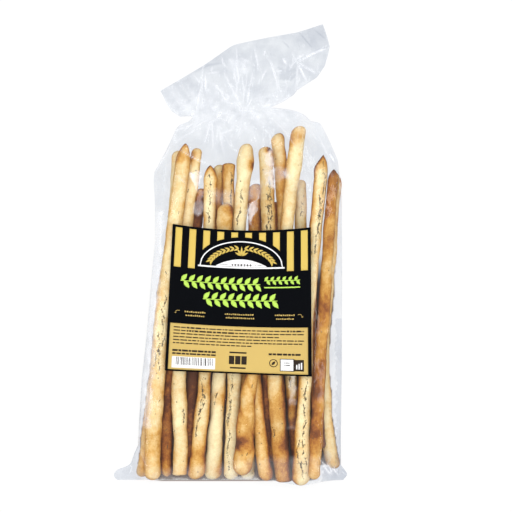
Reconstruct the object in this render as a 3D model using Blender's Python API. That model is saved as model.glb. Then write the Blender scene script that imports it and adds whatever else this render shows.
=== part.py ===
"""A filled clear bag of grissini breadsticks, lying on its back, with a paper label on its front.

The bag and what it holds are one closed solid: breadsticks stacked in loose layers, the film stretched
over them, a boxy foot with two pointed corner ears, a gathered neck, and a fanned, flattened mouth.
X runs across the pack, Y from its foot to its mouth, and Z up from the surface it lies on.
"""
import math

import bpy
import numpy as np

MM = 0.001

# Film outline, in millimetres: X from the pack's centre line and Y from the line that the sticks stand on.
FOOT_DIP = {"x": 46.0, "depth": 4.2, "spread": 13.0}  # the longest stick pushes the foot out here
LEFT_EDGE = [
    (-91, 0.8), (-94.7, 4.5), (-90.5, 8.9), (-84.5, 10.7), (-81, 13), (-78, 21.5), (-75.5, 27),
    (-75, 40), (-72.9, 75), (-68.8, 112), (-65.5, 152), (-62.9, 178), (-63.2, 208), (-64, 223),
    (-63.5, 229), (-60.7, 234), (-54.8, 245), (-50.3, 254.6), (-47.4, 261.2), (-44.4, 264.2),
    (-38, 266.5), (-35, 269.6),
]
RIGHT_EDGE = [
    (76.5, 0.8), (80, 5), (74.8, 12), (74.6, 30), (75.3, 76), (75.7, 164), (75.5, 200), (75.1, 215),
    (73.6, 229), (72.5, 237.5), (67.3, 250), (64.4, 256), (61.4, 262), (59, 265.7), (52.5, 267),
    (48.8, 270.8), (44.4, 273.4), (38.5, 275), (31.8, 276.4), (23, 277),
]
MOUTH_LEFT = [(-35, 269.6), (-37, 270.5), (-44.4, 270.3), (-51, 274.5), (-54, 279), (-59.2, 289.5)]
MOUTH_RIGHT = [
    (23, 277), (32.5, 281.5), (40, 286.5), (42.5, 290), (52.5, 296.4), (57, 299.3), (63, 308), (65.5, 317),
    (66.6, 322.3), (64.8, 329.5), (61.5, 339),
]
MOUTH_HEM = [
    (-59.2, 289.5), (-44.4, 298), (-29.6, 306.8), (-22.2, 311.5), (-7.4, 322), (-3.7, 323.8), (7.4, 326.3),
    (22.2, 329.3), (42.2, 332.8), (52.5, 336), (61.5, 339),
]

# Breadsticks from the surface up: X at four even stations from foot to head, Y of foot and head, and the
# radius at foot, middle and head.
STICKS = [
    ((-71.6, -61.2, -52.6, -45.5), (3, 241), (5.4, 5.2, 4.9)),
    ((-53.8, -52.3, -42.0, -31.0), (3, 217), (4.7, 4.7, 4.6)),
    ((-37.5, -34.8, -24.5, -15.5), (6, 234.6), (4.9, 4.9, 4.6)),
    ((5.7, 1.5, -5.5, -8.4), (2, 235.7), (5.0, 4.7, 4.5)),
    ((51.6, 48.3, 45.2, 44.5), (6, 222.7), (4.5, 4.5, 4.4)),
    ((32.0, 28.8, 26.0, 26.3), (9, 205), (4.6, 4.5, 4.5)),
    ((42.3, 37.0, 33.8, 28.3), (20, 259), (4.7, 4.7, 5.2)),
    ((70.3, 61.2, 64.0, 71.0), (9, 229), (4.7, 5.0, 4.3)),
    ((60.0, 54.5, 53.2, 56.0), (24, 205), (4.6, 4.6, 4.6)),
    ((19.5, 25.2, 35.0, 43.8), (42, 262.7), (4.9, 5.0, 5.7)),
    ((19.5, 11.6, 9.8, 11.5), (1, 220.5), (5.4, 4.8, 5.0)),
    ((-6.7, -4.2, -1.0, 4.0), (1, 250), (5.2, 4.5, 5.9)),
    ((-20.3, -15.6, -12.7, -10.4), (1, 205), (5.9, 4.7, 5.8)),
    ((32.0, 26.3, 21.8, 18.6), (-2, 247), (5.7, 5.2, 4.6)),
    ((-44.4, -44.3, -42.6, -32.8), (4, 246.4), (5.9, 5.7, 4.4)),
    ((-33.0, -25.9, -23.2, -22.0), (1.5, 234), (6.4, 4.4, 5.0)),
    ((45.0, 47.4, 54.0, 59.5), (-3.6, 242), (6.7, 4.9, 5.1)),
    ((54.8, 57.6, 64.0, 68.8), (2, 231), (4.1, 4.6, 3.9)),
    ((-63.7, -58.0, -51.8, -40.2), (1, 250), (6.2, 5.2, 5.3)),
    ((2.0, 6.6, 10.8, 10.5), (5, 170), (6.9, 5.2, 4.6)),
]
STICK_GAP = 0.3  # room between crusts
MOST_TILT = 0.1  # steepest rise of a stick along its length
MOST_BEND = 3.5  # how far a stick's middle may stand off its chord
FLOOR_FILM = 0.6  # underside film below the lowest stick

# Film shape.
EDGE_HEIGHT = 10.0  # where front and back film meet, above the surface, along the filled part
NECK_HEIGHT = 14.0
NECK_LIFT = 3.0  # underside of the neck, above the surface
MOUTH_EDGE = 1.0
EDGE_THICK = 1.0
FILM_SLACK = 0.5
PUFF = 0.010  # outward curve of free film, per millimetre
GRID = 1.5  # step of the height grid
PLEATS = 9
PLEAT_DEPTH = 2.4
HEM_PLEATS = 0.3  # share of the pleats' depth left at the open hem
PLEAT_FADE = {"body": 17.0, "mouth": 34.0}  # the gathers die out over these lengths from the neck

# Paper label: corners of the stuck-on sheet, seen from the front.
LABEL_FOOT = ((-55.3, 82.5), (53.0, 78.0))
LABEL_HEAD = ((-49.5, 190.5), (52.2, 188.0))
LABEL_SAG = 3.6  # its head edge dips in the middle
LABEL_BEND = 130.0  # tightest radius the paper takes across the sticks
LABEL_MARGIN = 4.0
LABEL_GAP = 0.4
LABEL_THICK = 0.6

ACROSS = 54  # points across the front of the bag
UNDER = 20  # points across its underside
BODY_STEPS = 48
MOUTH_STEPS = 14

FILM_COLOUR = (0.86, 0.87, 0.90, 1)
LABEL_COLOUR = (0.015, 0.015, 0.017, 1)


def along(points, share):
    """Points at the given shares of a polyline's length."""
    points = np.array(points, float)
    reach = np.concatenate([[0], np.cumsum(np.hypot(*np.diff(points, axis=0).T))])
    return np.stack([np.interp(share * reach[-1], reach, points[:, k]) for k in (0, 1)], axis=-1)


def by_height(points, share):
    """Points of an edge that rises steadily in Y, at shares of its rise."""
    points = np.array(points, float)
    y = points[0, 1] + share * (points[-1, 1] - points[0, 1])
    return np.stack([np.interp(y, points[:, 1], points[:, 0]), y], axis=-1)


def foot_line(share):
    """The foot edge, from ear to ear, with the dip that one long stick makes."""
    left, right = LEFT_EDGE[0], RIGHT_EDGE[0]
    x = left[0] + share * (right[0] - left[0])
    dip = FOOT_DIP["depth"] * np.exp(-(((x - FOOT_DIP["x"]) / FOOT_DIP["spread"]) ** 2))
    return np.stack([x, left[1] - dip], axis=-1)


def patch(bottom, top, left, right, s, t):
    """A Coons patch: the two blends between facing edges, less the blend of the four corners."""
    s, t = s[None, :, None], t[:, None, None]
    rise = (1 - t) * bottom[None] + t * top[None]
    cross = (1 - s) * left[:, None] + s * right[:, None]
    corners = (1 - t) * ((1 - s) * bottom[0] + s * bottom[-1]) + t * ((1 - s) * top[0] + s * top[-1])
    return rise + cross - corners


def stick_x(stations, share):
    """X along a stick: the cubic through its four even stations."""
    a, b, c, d = stations
    third, two_thirds, end = share - 1 / 3, share - 2 / 3, share - 1
    ends = d * share * third * two_thirds - a * third * two_thirds * end
    return 4.5 * ends + 13.5 * share * end * (b * two_thirds - c * third)


def stick_line(stick, count=90):
    """X, Y and radius along a stick, from foot to head, with rounded ends."""
    stations, (foot, head), (r_foot, r_middle, r_head) = stick
    share = np.linspace(0, 1, count)
    y = foot + share * (head - foot)
    bow = 4 * share * (1 - share)
    radius = bow * r_middle + (1 - share) * (1 - 2 * share) * r_foot + share * (2 * share - 1) * r_head
    cap = np.clip(np.minimum(y - foot, head - y) / radius, 0, 1)
    return stick_x(stations, share), y, radius * np.sqrt(np.clip(1 - (1 - cap) ** 2, 0.02, 1))


def axis_height(pose, y, stick):
    """Height of a stick's axis: base + rise times distance from its middle + bend times a parabola's rise."""
    base, rise, bend = pose
    foot, head = stick[1]
    half, off = (head - foot) / 2, y - (foot + head) / 2
    return base + rise * off + bend * (1 - (off / half) ** 2)


def settle(sticks):
    """Pose of every stick: each is laid as low, as straight and as level as the sticks below it allow."""
    laid = []
    rises = np.linspace(-MOST_TILT, MOST_TILT, 61)
    bends = np.linspace(-MOST_BEND, MOST_BEND, 15)
    probe = np.linspace(-4, 265, 180)
    for stick in sticks:
        x, y, radius = stick_line(stick)
        at = probe[(probe >= y[0]) & (probe <= y[-1])]
        x_at, r_at = np.interp(at, y, x), np.interp(at, y, radius)
        need = r_at + FLOOR_FILM
        for other, pose in laid:
            ox, oy, other_radius = stick_line(other)
            reach = r_at + np.interp(at, oy, other_radius, left=-99, right=-99) + STICK_GAP
            apart = np.abs(x_at - np.interp(at, oy, ox))
            over = axis_height(pose, at, other) + np.sqrt(np.clip(reach**2 - apart**2, 0, None))
            need = np.where((apart < reach) & (reach > 0), np.maximum(need, over), need)
        shape = axis_height((0, rises[:, None, None], bends[None, :, None]), at, stick)
        base = (need - shape).max(axis=2)
        cost = base + bends * 2 / 3 + 8 * rises[:, None] ** 2 + 0.04 * bends**2
        i, j = np.unravel_index(np.argmin(cost), cost.shape)
        laid.append((stick, (base[i, j], rises[i], bends[j])))
    return laid


def crusts(laid, gx, gy):
    """Heights of the sticks' top surface and of their underside over the grid; infinite where none lies."""
    top, bottom = np.full(gx.shape, -np.inf), np.full(gx.shape, np.inf)
    for stick, pose in laid:
        x, y, radius = stick_line(stick)
        r = np.interp(gy, y, radius, left=0, right=0)
        off = np.abs(gx - np.interp(gy, y, x))
        half = np.sqrt(np.clip(r**2 - off**2, 0, None))
        axis = axis_height(pose, gy, stick)
        top = np.where(off < r, np.maximum(top, axis + half + FILM_SLACK), top)
        bottom = np.where(off < r, np.minimum(bottom, axis - half - FLOOR_FILM), bottom)
    return top, bottom


def label_point(u, v):
    """X and Y of the label at u across and v up, each from 0 to 1."""
    (fl, fr), (hl, hr) = np.array(LABEL_FOOT, float), np.array(LABEL_HEAD, float)
    u, v = u[..., None], v[..., None]
    flat = (1 - v) * ((1 - u) * fl + u * fr) + v * ((1 - u) * hl + u * hr)
    flat[..., 1] -= LABEL_SAG * (4 * u * (1 - u) * v)[..., 0]
    return flat


def stiffen(top, gx, gy):
    """Bridges the film between the sticks under the label, as paper does: each point is lifted to the highest
    parabola of the paper's tightest radius that stands on any point beside it."""
    low_y, high_y = LABEL_FOOT[1][1] - LABEL_MARGIN, LABEL_HEAD[0][1] + LABEL_MARGIN
    low_x, high_x = LABEL_FOOT[0][0] - LABEL_MARGIN, LABEL_FOOT[1][0] + LABEL_MARGIN
    rows = np.where((gy[:, 0] > low_y) & (gy[:, 0] < high_y))[0]
    columns = np.where((gx[0] > low_x) & (gx[0] < high_x))[0]
    area = top[np.ix_(rows, columns)]
    x, y = gx[0, columns], gy[rows, 0]
    drop_x = (x[:, None] - x[None, :]) ** 2 / (2 * LABEL_BEND)
    drop_y = (y[:, None] - y[None, :]) ** 2 / (4 * LABEL_BEND)
    area = (area[:, None, :] - drop_x[None]).max(axis=2)
    area = (area.T[:, None, :] - drop_y[None]).max(axis=2).T
    stiff = top.copy()
    stiff[np.ix_(rows, columns)] = np.maximum(area, top[np.ix_(rows, columns)])
    return stiff


def edge_height(y):
    return np.interp(y, [0, 30, 270], [EDGE_HEIGHT - 3, EDGE_HEIGHT, NECK_HEIGHT * 0.6])


def drape(laid):
    """Front and underside heights of the film over a grid: two stretched skins, above the sticks and below
    them, held at the outline, each with a slight outward puff. Each free point settles at the mean of its
    neighbours."""
    x, y = np.arange(-99, 85, GRID), np.arange(-7.5, 284, GRID)
    gx, gy = np.meshgrid(x, y)
    left, right = np.array(LEFT_EDGE), np.array(RIGHT_EDGE)
    neck = left[-1, 1] + (gx - left[-1, 0]) * (right[-1, 1] - left[-1, 1]) / (right[-1, 0] - left[-1, 0])
    foot_x, foot_y = foot_line(np.linspace(0, 1, 80)).T
    inside = (gx > np.interp(gy, left[:, 1], left[:, 0])) & (gx < np.interp(gy, right[:, 1], right[:, 0]))
    inside &= (gy > np.interp(x, foot_x, foot_y)[None, :]) & (gy < neck)
    across = np.clip((gx - left[-1, 0]) / (right[-1, 0] - left[-1, 0]), 0, 1)
    rim = edge_height(gy)
    top, bottom = crusts(laid, gx, gy)
    top = stiffen(np.maximum(top, 0), gx, gy)
    front = np.where(inside, np.maximum(top, rim), rim)
    front = np.where(gy >= neck, NECK_HEIGHT * (0.6 + 0.4 * np.sin(np.pi * across)), front)
    under = np.where(inside, 0, rim - EDGE_THICK)
    lifted = NECK_LIFT + (rim - EDGE_THICK - NECK_LIFT) * np.abs(2 * across - 1) ** 3
    under = np.where(gy >= neck, lifted, under)
    puff = PUFF * GRID**2 / 4
    for _ in range(700):
        front = np.where(inside, np.maximum(top, beside(front) + puff), front)
        under = np.where(inside, np.clip(beside(under) - puff, 0, np.maximum(bottom, 0)), under)
    return x, y, front, under


def beside(height):
    """Mean of the four neighbours of every grid point."""
    rows = np.roll(height, 1, 0) + np.roll(height, -1, 0)
    return (rows + np.roll(height, 1, 1) + np.roll(height, -1, 1)) / 4


def sample(film, side, px, py):
    """Height of the film's front or underside at any points, between the grid's own."""
    x, y, height = film[0], film[1], film[2 if side == "front" else 3]
    fx, fy = np.clip((px - x[0]) / GRID, 0, len(x) - 1.001), np.clip((py - y[0]) / GRID, 0, len(y) - 1.001)
    ix, iy = fx.astype(int), fy.astype(int)
    rx, ry = fx - ix, fy - iy
    low = height[iy, ix] * (1 - rx) + height[iy, ix + 1] * rx
    high = height[iy + 1, ix] * (1 - rx) + height[iy + 1, ix + 1] * rx
    return low * (1 - ry) + high * ry


def shares(count):
    """Shares from 0 to 1 that crowd towards both ends."""
    even = np.linspace(0, 1, count)
    return 0.35 * even + 0.65 * (1 - np.cos(np.pi * even)) / 2


def filled_part(film):
    """Front and underside of the filled part, as rows of points from left to right."""
    rows = np.linspace(0, 1, BODY_STEPS + 1) ** 1.25
    neck = np.array([LEFT_EDGE[-1], RIGHT_EDGE[-1]], float)
    sheets = []
    for side, s in (("front", shares(ACROSS)), ("under", shares(UNDER))):
        top = neck[0] + s[:, None] * (neck[1] - neck[0])
        plan = patch(foot_line(s), top, by_height(LEFT_EDGE, rows), by_height(RIGHT_EDGE, rows), s, rows)
        height = sample(film, side, plan[..., 0], plan[..., 1])
        rim = edge_height(plan[..., 1]) - (0 if side == "front" else EDGE_THICK)
        if side == "front":
            from_neck = np.linalg.norm(plan - plan[-1][None], axis=2)
            height += gathers(s)[None] * np.exp(-((from_neck / PLEAT_FADE["body"]) ** 2))
        height[:, [0, -1]] = rim[:, [0, -1]]
        height[0] = rim[0]
        sheets.append(np.dstack([plan, height]))
    return sheets


def gathers(s):
    """Height of the pleats across the neck: squared sine waves that shrink towards both sides."""
    return PLEAT_DEPTH * np.sin(np.pi * PLEATS * s) ** 2 * np.sin(np.pi * np.clip(s, 0, 1)) ** 0.5


def mouth_part(body_front, body_under):
    """The fan of loose film past the neck: pleats spread from the neck and die out towards the hem."""
    rows = np.linspace(0, 1, MOUTH_STEPS + 1)

    def plan(s):
        neck = np.array(LEFT_EDGE[-1]) + s[:, None] * (np.array(RIGHT_EDGE[-1]) - np.array(LEFT_EDGE[-1]))
        return patch(neck, along(MOUTH_HEM, s), along(MOUTH_LEFT, rows), along(MOUTH_RIGHT, rows), s, rows)

    s_front, s_under = shares(ACROSS), shares(UNDER)
    front, under = plan(s_front), plan(s_under)
    r = rows[:, None]
    rise = np.sin(np.pi * np.clip(s_front, 0, 1)) ** 0.5
    crown = MOUTH_EDGE * 2 + rise[None] * (5.5 * (1 - r) ** 1.5 + 1.2)
    from_neck = np.linalg.norm(front - front[0][None], axis=2)
    fade = np.exp(-((from_neck / PLEAT_FADE["mouth"]) ** 2))
    pleats = gathers(s_front)[None] * (HEM_PLEATS + (1 - HEM_PLEATS) * fade)
    blend = np.clip(r * 3, 0, 1)
    z_front = (1 - blend) * body_front[-1, :, 2][None] + blend * (crown + pleats)
    z_under = np.repeat((1 - np.clip(rows * 4, 0, 1))[:, None], UNDER, axis=1) * body_under[-1, :, 2][None]
    return np.dstack([front, z_front]), np.dstack([under, z_under])


def footprint_centre():
    """Middle of the outline's box, which the model's origin stands on."""
    outline = np.array(LEFT_EDGE + RIGHT_EDGE + MOUTH_LEFT + MOUTH_RIGHT + MOUTH_HEM)
    lowest = foot_line(np.linspace(0, 1, ACROSS))[:, 1].min()
    return np.array([(outline[:, 0].min() + outline[:, 0].max()) / 2, (lowest + outline[:, 1].max()) / 2, 0])


def solid_of_rows(name, front, under, colour, roughness, centre):
    """One closed object from matching rows of front and underside points, with both ends capped."""
    rings = [np.vstack([f, u[::-1]]) for f, u in zip(front, under)]
    count = len(rings[0])
    points = (np.vstack(rings) - centre) * MM
    faces = []
    for k in range(len(rings) - 1):
        for i in range(count):
            j = (i + 1) % count
            a, b, c, d = k * count + i, k * count + j, (k + 1) * count + j, (k + 1) * count + i
            faces.append((a, b, c, d))
    faces += cap(0, front.shape[1], under.shape[1], False)
    faces += cap((len(rings) - 1) * count, front.shape[1], under.shape[1], True)
    mesh = bpy.data.meshes.new(name)
    mesh.from_pydata(points.tolist(), [], faces)
    mesh.validate()
    mesh.shade_smooth()
    mesh.set_sharp_from_angle(angle=math.radians(40))
    material = bpy.data.materials.new(name)
    material.use_nodes = True
    shader = material.node_tree.nodes["Principled BSDF"]
    shader.inputs["Base Color"].default_value = colour
    shader.inputs["Roughness"].default_value = roughness
    mesh.materials.append(material)
    obj = bpy.data.objects.new(name, mesh)
    return obj


def cap(start, front, under, turned):
    """Triangles that close one end ring, between its front points and its fewer underside points."""
    total, faces = front + under, []
    i, j = 0, 0  # front point i, and underside point j counted from the left
    while i < front - 1 or j < under - 1:
        ahead_front = (i + 1) / (front - 1) if i < front - 1 else 9
        ahead_under = (j + 1) / (under - 1) if j < under - 1 else 9
        low = start + total - 1 - j
        if ahead_front <= ahead_under:
            faces.append((start + i, low, start + i + 1))
            i += 1
        else:
            faces.append((start + i, low, low - 1))
            j += 1
    return [f[::-1] for f in faces] if turned else faces


def label_solid(film, centre):
    """The paper label: a thin sheet that follows the film under it."""
    u, v = np.meshgrid(np.linspace(0, 1, 23), np.linspace(0, 1, 15))
    plan = label_point(u, v)
    height = sample(film, "front", plan[..., 0], plan[..., 1]) + LABEL_GAP
    front = np.dstack([plan, height + LABEL_THICK])
    under = np.dstack([plan, height])
    return solid_of_rows("label", front, under, LABEL_COLOUR, 0.45, centre)


def bag_solid(film, centre):
    body_front, body_under = filled_part(film)
    mouth_front, mouth_under = mouth_part(body_front, body_under)
    front, under = np.vstack([body_front, mouth_front[1:]]), np.vstack([body_under, mouth_under[1:]])
    return solid_of_rows("bag", front, under, FILM_COLOUR, 0.15, centre)


def main():
    for obj in list(bpy.data.objects):
        bpy.data.objects.remove(obj)
    pack = bpy.data.collections.new("Grissini pack")
    bpy.context.scene.collection.children.link(pack)
    laid = settle(STICKS)
    film = drape(laid)
    centre = footprint_centre()
    for piece in (bag_solid(film, centre), label_solid(film, centre)):
        pack.objects.link(piece)


main()
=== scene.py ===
import math
import bpy
import numpy as np
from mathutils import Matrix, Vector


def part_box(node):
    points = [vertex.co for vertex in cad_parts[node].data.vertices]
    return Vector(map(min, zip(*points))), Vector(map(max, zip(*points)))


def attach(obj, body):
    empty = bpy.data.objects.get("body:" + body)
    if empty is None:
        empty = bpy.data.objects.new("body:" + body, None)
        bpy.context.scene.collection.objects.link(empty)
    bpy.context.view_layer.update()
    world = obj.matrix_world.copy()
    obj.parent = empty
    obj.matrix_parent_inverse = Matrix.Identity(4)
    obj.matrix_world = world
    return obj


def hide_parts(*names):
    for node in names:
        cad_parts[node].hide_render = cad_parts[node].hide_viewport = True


# A clear bag of grissini lying on its back: breadsticks, herb leaves, film and a printed paper label.
# Drawing coordinates are millimetres: x from the middle of the bag, y up from the line the sticks stand
# on, z up from the table. makeMesh moves them into the frame of the CAD model.

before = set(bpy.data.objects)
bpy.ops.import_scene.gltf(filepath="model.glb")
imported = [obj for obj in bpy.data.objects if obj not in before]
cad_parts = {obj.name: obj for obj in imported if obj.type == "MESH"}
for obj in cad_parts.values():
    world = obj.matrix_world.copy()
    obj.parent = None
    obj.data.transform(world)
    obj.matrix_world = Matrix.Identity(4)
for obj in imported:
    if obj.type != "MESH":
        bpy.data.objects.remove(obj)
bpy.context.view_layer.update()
mm = 0.001

bagShape = {
    "leftEdge": [
        (-91, 0.8), (-94.7, 4.5), (-90.5, 8.9), (-84.5, 10.7), (-81, 13), (-78, 21.5), (-75.5, 27), (-75, 40),
        (-72.9, 75), (-68.8, 112), (-65.5, 152), (-62.9, 178), (-63.2, 208), (-64, 223), (-63.5, 229),
        (-60.7, 234), (-54.8, 245), (-50.3, 254.6), (-47.4, 261.2), (-44.4, 264.2), (-38, 266.5),
        (-35, 269.6),
    ],
    "rightEdge": [
        (76.5, 0.8), (80, 5), (74.8, 12), (74.6, 30), (75.3, 76), (75.7, 164), (75.5, 200), (75.1, 215),
        (73.6, 229), (72.5, 237.5), (67.3, 250), (64.4, 256), (61.4, 262), (59, 265.7), (52.5, 267),
        (48.8, 270.8), (44.4, 273.4), (38.5, 275), (31.8, 276.4), (23, 277),
    ],
    "mouthLeft": [(-35, 269.6), (-37, 270.5), (-44.4, 270.3), (-51, 274.5), (-54, 279), (-59.2, 289.5)],
    "mouthRight": [
        (23, 277), (32.5, 281.5), (40, 286.5), (42.5, 290), (52.5, 296.4), (57, 299.3), (63, 308),
        (65.5, 317), (66.6, 322.3), (64.8, 329.5), (61.5, 339),
    ],
    "mouthHem": [
        (-59.2, 289.5), (-44.4, 298), (-29.6, 306.8), (-22.2, 311.5), (-7.4, 322), (-3.7, 323.8),
        (7.4, 326.3), (22.2, 329.3), (42.2, 332.8), (52.5, 336), (61.5, 339),
    ],
    "footDip": (45.0, 4.2, 16.0),  # where the longest stick pushes the foot out, how far, and how wide
    "edgeHeight": 10.0,  # where front and back film meet
    "neckHeight": 14.0,
    "neckLift": 3.0, "rimGap": 0.6,
    "slack": 0.3,  # room between crust and film
    "puff": 0.010,
    "pleats": 13,
    "pleatDepth": 2.0,
    "pleatReach": (17.0, 34.0),  # how far they run from the neck, into the filled part and into the mouth
    "crown": (5.5, 1.4),  # arch of the open mouth: the part that dies out towards the hem, and the rest
    # foldMilkAndGlint scales the white along folds: partly hazy film, partly painted glints
    "foldWidth": 0.6, "foldMilkAndGlint": 0.72,
}

labelShape = {
    "foot": ((-55.3, 82.5), (53.0, 78.0)),
    "head": ((-49.5, 190.5), (52.2, 188.0)),
    "sag": 3.6,
    "bend": 130.0,  # tightest radius the paper takes
    "margin": 4.0,
    "size": (106.0, 112.0),
    "gap": 0.4, "thick": 0.35,
}

bagLow, bagHigh = (np.array(corner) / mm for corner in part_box("bag"))
labelLow = np.array(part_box("label")[0]) / mm
centre = np.array([labelShape["foot"][0][0] - labelLow[0], labelShape["foot"][1][1] - labelLow[1], 0.0])
print("drawing origin sits at", np.round(-centre[:2], 2), "mm in the frame")


def makeMesh(name, points, quads, triangles=(), attributes=None, closed=True):
    # Points in drawing millimetres become vertices in metres. A closed skin whose signed volume comes out
    # negative has its faces turned round.
    points = (np.asarray(points, float).reshape(-1, 3) - centre) * mm
    quads = np.asarray(quads, int).reshape(-1, 4)
    triangles = np.asarray(triangles, int).reshape(-1, 3)
    if closed:
        split = np.vstack([quads[:, :3], quads[:, [0, 2, 3]], triangles])
        a, b, c = (points[split[:, k]] for k in range(3))
        if np.einsum("ij,ij->i", a, np.cross(b, c)).sum() < 0:
            quads, triangles = quads[:, ::-1], triangles[:, ::-1]
    mesh = bpy.data.meshes.new(name)
    mesh.from_pydata(points.tolist(), [], quads.tolist() + triangles.tolist())
    mesh.polygons.foreach_set("use_smooth", np.ones(len(mesh.polygons), bool))
    for key, values in (attributes or {}).items():
        layer = mesh.attributes.new(key, "FLOAT", "POINT")
        layer.data.foreach_set("value", np.asarray(values, np.float32).ravel())
    mesh.update()
    piece = bpy.data.objects.new(name, mesh)
    bpy.context.scene.collection.objects.link(piece)
    return piece


def gridQuads(rows, columns, wrap=False):
    # Corner numbers of the quads of a grid of points; wrap joins the last column to the first.
    i, k = np.meshgrid(np.arange(rows - 1), np.arange(columns if wrap else columns - 1), indexing="ij")
    i, k = i.ravel(), k.ravel()
    j = (k + 1) % columns
    return np.stack([i * columns + k, i * columns + j, (i + 1) * columns + j, (i + 1) * columns + k], axis=1)


def ripple(along, around, seed, count, longest, shortest, mostTurns=3):
    # Sum of cosines. Each has its own wavelength along, a whole number of turns around and its own phase;
    # shorter waves are lower. Scaled to about -1 to 1.
    dice = np.random.default_rng(seed)
    total, weight = 0.0, 0.0
    for k in range(count):
        length = longest * (shortest / longest) ** (k / max(count - 1, 1)) * dice.uniform(0.85, 1.18)
        high = (length / longest) ** 0.55
        turns = dice.integers(0, mostTurns + 1)
        total = total + high * np.cos(2 * np.pi * along / length + turns * around + dice.uniform(0, 6.28))
        weight += high**2
    return total / math.sqrt(weight)


def pointsAlong(points, share):
    # Points at the given shares of a polyline's length.
    points = np.array(points, float)
    reach = np.concatenate([[0], np.cumsum(np.hypot(*np.diff(points, axis=0).T))])
    return np.stack([np.interp(share * reach[-1], reach, points[:, k]) for k in (0, 1)], axis=-1)
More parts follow.
